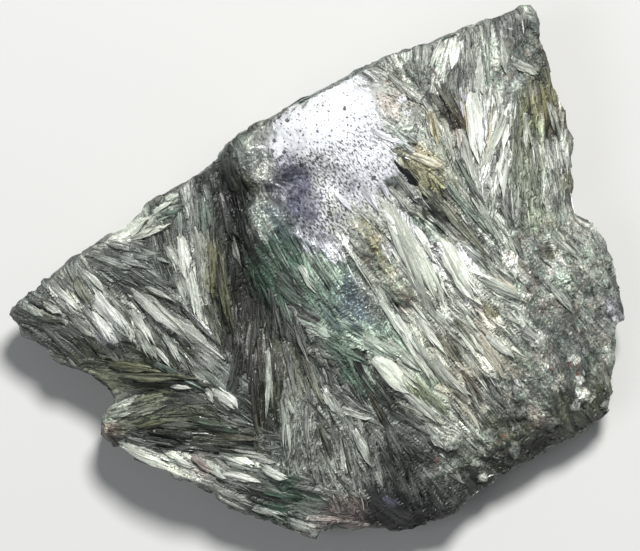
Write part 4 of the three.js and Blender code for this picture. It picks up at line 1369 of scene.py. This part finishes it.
def splitLeads(ground, paintedShading, number, random):
    # each lead is a low broad blade, with thinner ones along it that end at different places
    mine = np.flatnonzero(leads["fan"] == number)
    root, tip, width, tone = (leads[name][mine] for name in ("root", "tip", "width", "tone"))
    bright = np.clip(tone.mean(1, keepdims=True) / paint("pale").mean(), *lead["bright"])
    tone = tone * bright + stainAt(root * 0.4 + tip * 0.6) * (1 - bright)
    # painted shade of the hollow, and painted light of the crest, where the lead lies
    tone = tone * lead["light"] * paintedShadeAt(paintedShading, (root + tip) / 2)[:, None]
    broad, misfit = layRows(ground, root, tip, width, tone, np.full(len(mine), lead["tipLift"]))
    broad = {name: values[misfit < blade["unfit"]] for name, values in broad.items()}
    pick = np.repeat(np.arange(len(mine)), np.ceil(width * lead["splits"]).astype(int))
    u = random.uniform(-1, 1, len(pick))
    run = tip[pick] - root[pick]
    side = unit(np.column_stack([-run[:, 1], run[:, 0]]))
    first = random.uniform(-0.05, 0.35, len(pick))
    last = 1.03 - 0.15 * u**2 - random.uniform(0, 0.2, len(pick))
    offset = side * (u * width[pick] * lead["splitReach"])[:, None]
    start = root[pick] + run * first[:, None] + offset * (0.7 + 0.3 * first[:, None])
    end = root[pick] + run * last[:, None] + offset * (1 - 0.3 * last[:, None])
    splitTone = tone[pick] * np.exp(random.normal(0, lead["splitUneven"], (len(pick), 1)))
    splitWidth = width[pick] * random.uniform(*lead["splitWidth"], len(pick))
    lift = lead["tipLift"] * last + lead["proud"] + lead["crown"] * width[pick] * (1 - u**2)
    splits, misfit = layRows(ground, start, end, splitWidth, splitTone, lift)
    splits = {name: values[misfit < lead["misfit"]] for name, values in splits.items()}
    return broad, splits


# Lesser blades: mm of their length and width, degrees that they stray, mm that their tips stand over
# the ground, and how uneven their lightness is
scatter = {
    "vane": {"length": (3.5, 11), "width": (0.6, 1.8), "stray": 4, "lift": (-0.05, 0.25), "uneven": 0.26},
    "sliver": {"length": (2.5, 8), "width": (0.13, 0.34), "stray": 5, "lift": (-0.05, 0.25), "uneven": 0.5},
}

sowing = {
    "tries": 14,  # places tried for each one that is wanted
    "margin": 3,  # mm round a fan's leads where they are tried
    "reach": 4.5,  # mm from the nearest lead where they end
    "coarseBare": 0.85,  # how bare the coarse end is left
    "clear": 0.15,  # mm that most of them keep from a lead
    "onLead": 0.04,  # share that may lie on one all the same
}


def scatterFan(ground, paintedShading, number, fan, name, random):
    # the lesser blades of a fan, or its slivers
    plan = scatter[name]
    tries = fan[name] * sowing["tries"]
    ends = np.vstack([leads["root"][leads["fan"] == number], leads["tip"][leads["fan"] == number]])
    low, high = ends.min(0) - sowing["margin"], ends.max(0) + sowing["margin"]
    place = random.uniform(low, high, (tries, 2))
    flow, owner, nearest, gap = flowAt(place)
    bare = np.maximum(zoneShare("polish", place), zoneShare("sparkle", place))
    bare = np.maximum(bare, sowing["coarseBare"] * zoneShare("coarse", place))
    kept = (owner == number) & (gap < sowing["reach"]) & (random.uniform(0, 1, tries) > bare)
    beside = gap > leads["width"][nearest] * 0.5 + sowing["clear"]
    kept &= beside | (random.uniform(0, 1, tries) < sowing["onLead"])
    kept &= ~np.isnan(heightAt(ground, place))
    place, flow, nearest = place[kept], flow[kept], nearest[kept]
    count = len(place)
    length = plan["length"][0] + random.uniform(0, 1, count) ** 1.5 * np.ptp(plan["length"])
    width = plan["width"][0] + random.uniform(0, 1, count) ** 2 * np.ptp(plan["width"])
    axis = turned(flow, random.normal(0, plan["stray"], count))
    root = place - axis * length[:, None] * 0.5
    tip = place + axis * length[:, None] * 0.5
    tone = stainAt(place + axis * random.normal(0, 1, (count, 1)))
    # painted shade of the hollow, and painted light of the crest, where the blade lies
    tone = tone * paintedShadeAt(paintedShading, place)[:, None]
    tone = tone * np.exp(random.normal(0, plan["uneven"], (count, 1)))
    rows, misfit = layRows(ground, root, tip, width, tone, random.uniform(*plan["lift"], count))
    chosen = np.flatnonzero(misfit < blade["misfit"])[:fan[name]]
    return {name: values[chosen] for name, values in rows.items()}


def joinMeshes(meshes):
    work = bmesh.new()
    for mesh in meshes:
        work.from_mesh(mesh)
    return meshFrom(work, "joined")


def makeFans(ground, paintedShading, satin):
    for number, (name, fan) in enumerate(fans.items()):
        random = np.random.default_rng(100 + number)
        broad, splits = splitLeads(ground, paintedShading, number, random)
        vanes = scatterFan(ground, paintedShading, number, fan, "vane", random)
        slivers = scatterFan(ground, paintedShading, number, fan, "sliver", random)
        mesh = joinMeshes([
            growBlades(broad, kinds["lead"], random),
            growBlades(splits, kinds["split"], random),
            growBlades(vanes, kinds["vane"], random),
            growBlades(slivers, kinds["sliver"], random),
        ])
        print(name, "has", len(broad["length"]), "leads and", len(mesh.polygons), "faces")
        addPiece(name + "Blades", mesh, satin)


splinter = {
    "tries": 1500,
    "length": (2.5, 9),
    "width": (0.6, 2.4),
    "stray": 7,  # degrees
    "lift": (-0.12, 0.1),
    "over": 4,  # mm over the surface from where it is felt
    "misfit": 0.6,  # mm that it may rise or fall from one place to the next
    "low": 1.2,  # mm over the bed where the lowest end
    "rootLow": 2,  # mm over the bed where the lowest begin
    "topShare": 0.1,  # how far their roots may lie on the top
    "overhang": -0.5,  # least upward part of the normal there
    "uneven": 0.25,  # how uneven their lightness is
}


def makeSplinters(tree, surface, satin):
    # low blades that lie along the broken sides
    random = np.random.default_rng(301)
    points, normals = surface["points"], surface["normals"]
    flank, plates = surface["flank"], surface["plates"]
    steep = (surface["topShare"][flank] < splinter["topShare"]) & (points[flank, 2] > splinter["rootLow"])
    steep &= normals[flank, 2] > splinter["overhang"]
    chosen = random.choice(np.flatnonzero(steep), splinter["tries"], replace=False)
    owner = plates["best"][chosen]
    chosen = flank[chosen]
    up = unit(normals[chosen])
    axis = plates["alongs"][owner] * random.choice((-1, 1), len(plates["roots"]))[owner][:, None]
    axis = unit(axis - (axis * up).sum(1)[:, None] * up)
    astray = np.tan(np.radians(random.normal(0, splinter["stray"], len(chosen))))
    axis = unit(axis + np.cross(up, axis) * astray[:, None])
    size = random.uniform(0, 1, len(chosen)) ** 2
    length = splinter["length"][0] + size * np.ptp(splinter["length"])
    width = splinter["width"][0] + size * random.uniform(0.2, 1, len(chosen)) * np.ptp(splinter["width"])
    bed = np.full((len(chosen), 5), np.nan)
    for place, share in enumerate(np.linspace(0, 1, 5)):
        start = points[chosen] + axis * (length * share)[:, None] + up * splinter["over"]
        for number in range(len(chosen)):
            above = Vector(start[number]) * mm
            hit = tree.ray_cast(above, Vector(-up[number]), 2 * splinter["over"] * mm)
            if hit[0] is not None:
                bed[number, place] = splinter["over"] - hit[3] / mm
    end = points[chosen] + axis * length[:, None]
    kept = (abs(np.diff(bed)).max(1) < splinter["misfit"]) & (end[:, 2] > splinter["low"])
    tone = surface["tone"][chosen]
    tone = tone * np.exp(random.normal(0, splinter["uneven"], (len(chosen), 1)))
    rows = {
        "root": points[chosen], "axis": axis, "side": np.cross(up, axis), "up": up,
        "length": length, "width": width, "tone": tone, "bed": bed,
        "slope": np.zeros(len(chosen)), "lift": random.uniform(*splinter["lift"], len(chosen)),
    }
    rows = {name: values[kept] for name, values in rows.items()}
    print("the sides have", kept.sum(), "blades")
    return addPiece("sideBlades", growBlades(rows, kinds["vane"], random, body["sideDrawn"]), satin)


grit = {
    "count": 1500,
    "size": (0.2, 0.8),  # mm across a grain
    "shape": (1.3, 0.75, 0.35),  # its length, width and height, beside that
    "uneven": (0.2, 0.12),  # how uneven its sides and its points are
    "tones": ("silver", "grey", "slate", "moss", "pale", "dark", "pink"),
    "toneShare": (0, 0.4),  # how far it takes one of them, over the ground's
    "lightUneven": 0.3,  # how uneven their lightness is
    "rust": 0.002,  # share of rusty grains
    "low": 1,  # mm over the bed where the lowest lie
    "overhang": -0.3,  # least upward part of the normal there
}


def makeGrit(surface, material):
    # loose-looking grains on the coarse end and here and there on the sides
    random = np.random.default_rng(302)
    blank = bmesh.new()
    bmesh.ops.create_icosphere(blank, subdivisions=1, radius=0.5)
    blank = meshFrom(blank, "grain")
    shape = readPlaces(blank) * mm
    points = surface["points"]
    chance = surface["coarse"] ** 2 * (points[:, 2] > grit["low"])
    chance = chance * (surface["normals"][:, 2] > grit["overhang"])
    chosen = random.choice(len(points), grit["count"], replace=False, p=chance / chance.sum())
    offset = {"count": len(chosen), "use_relative_offset": False, "use_constant_offset": True}
    mesh = withModifier(blank, "ARRAY", offset)
    up = surface["normals"][chosen]
    first = unit(np.cross(up, random.normal(0, 1, up.shape)))
    second = np.cross(up, first)
    size = random.uniform(0, 1, (len(chosen), 1)) ** 2
    size = grit["size"][0] + size * (grit["size"][1] - grit["size"][0])
    size = size * np.exp(random.normal(0, grit["uneven"][0], (len(chosen), 3))) * grit["shape"]
    rough = random.normal(0, grit["uneven"][1], (len(chosen), len(shape), 1))
    grown = shape[None] * (1 + rough) * size[:, None]
    places = points[chosen][:, None]
    for axis, way in enumerate((first, second, up)):
        places = places + grown[..., axis:axis + 1] * way[:, None]
    setPlaces(mesh, places.reshape(-1, 3))
    finishes = np.array([paint(name) for name in grit["tones"]])
    share = random.uniform(*grit["toneShare"], (len(chosen), 1))
    finish = finishes[random.integers(0, len(finishes), len(chosen))]
    tone = surface["tone"][chosen] * (1 - share) + finish * share
    tone = tone * np.exp(random.normal(0, grit["lightUneven"], (len(chosen), 1)))
    tone[random.uniform(0, 1, len(chosen)) < grit["rust"]] = paint("rust")
    setTone(mesh, np.repeat(tone, len(shape), 0))
    # each grain reads its mottle from a place of its own
    apart = np.repeat(size, len(shape), 0) * 50
    setAttribute(mesh, "grain", "FLOAT_VECTOR", grown.reshape(-1, 3) + apart)
    return addPiece("looseGrit", mesh, material)


room = {
    "height": 0.8,  # metres from the floor to the camera, which looks straight down
    "frameWidth": 0.096,  # metres that it sees across, at this height:
    "frameAt": 0.018,
    "offset": (0.0003, -0.000075),
    "sensor": 36,
    "floor": (0.62, 0.62, 0.61, 1),
    "sky": (0.9, 0.95, 1, 1),
    "skyStrength": 0.14,
}

# Lamps, all turned to the stone: place, size, power and colour
lamps = {
    "keyLamp": ((0.12, 0.42, 0.75), 0.2, 9.6, (1, 0.99, 0.97)),
    "fillLamp": ((-0.5, -0.2, 0.9), 0.6, 2.2, (0.95, 0.98, 1)),
}


def makeCamera():
    data = bpy.data.cameras.new("camera")
    data.sensor_width = room["sensor"]
    data.lens = room["sensor"] * (room["height"] - room["frameAt"]) / room["frameWidth"]
    camera = bpy.data.objects.new("camera", data)
    camera.location = (*room["offset"], room["height"])
    bpy.context.scene.collection.objects.link(camera)
    bpy.context.scene.camera = camera


def addLamp(name, place, size, power, colour):
    data = bpy.data.lights.new(name, "AREA")
    data.shape = "DISK"
    data.size = size
    data.energy = power
    data.color = colour
    lamp = bpy.data.objects.new(name, data)
    lamp.location = place
    lamp.rotation_euler = Vector(place).to_track_quat("Z", "Y").to_euler()
    bpy.context.scene.collection.objects.link(lamp)


def makeRoom():
    work = bmesh.new()
    bmesh.ops.create_grid(work, x_segments=1, y_segments=1, size=3)
    mesh = meshFrom(work, "floor")
    material, start, shader = newMaterial("palePaper")
    shader.inputs["Base Color"].default_value = room["floor"]
    shader.inputs["Roughness"].default_value = 0.9
    mesh.materials.append(material)
    floor = bpy.data.objects.new("floor", mesh)
    bpy.context.scene.collection.objects.link(floor)
    world = bpy.data.worlds.new("room")
    world.use_nodes = True
    sky = world.node_tree.nodes["Background"]
    sky.inputs["Color"].default_value = room["sky"]
    sky.inputs["Strength"].default_value = room["skyStrength"]
    bpy.context.scene.world = world
    for name, (place, size, power, colour) in lamps.items():
        addLamp(name, place, size, power, colour)


print("camera and light")
makeCamera()
makeRoom()
bpy.context.scene.view_settings.view_transform = "Standard"

print("stone")
stoneBody, surface = makeBody()
stoneTree = treeOf(stoneBody)
ground = surveyGround(stoneTree)
# painted shade for the hollows and painted light for the crests
paintedShading = paintHollowsAndCrests(ground)
paintBody(stoneBody, surface, paintedShading)
print("blades")
satin = bladeSilk()
makeFans(ground, paintedShading, satin)
print("splinters and grit")
makeSplinters(stoneTree, surface, satin)
makeGrit(surface, grainMatt())
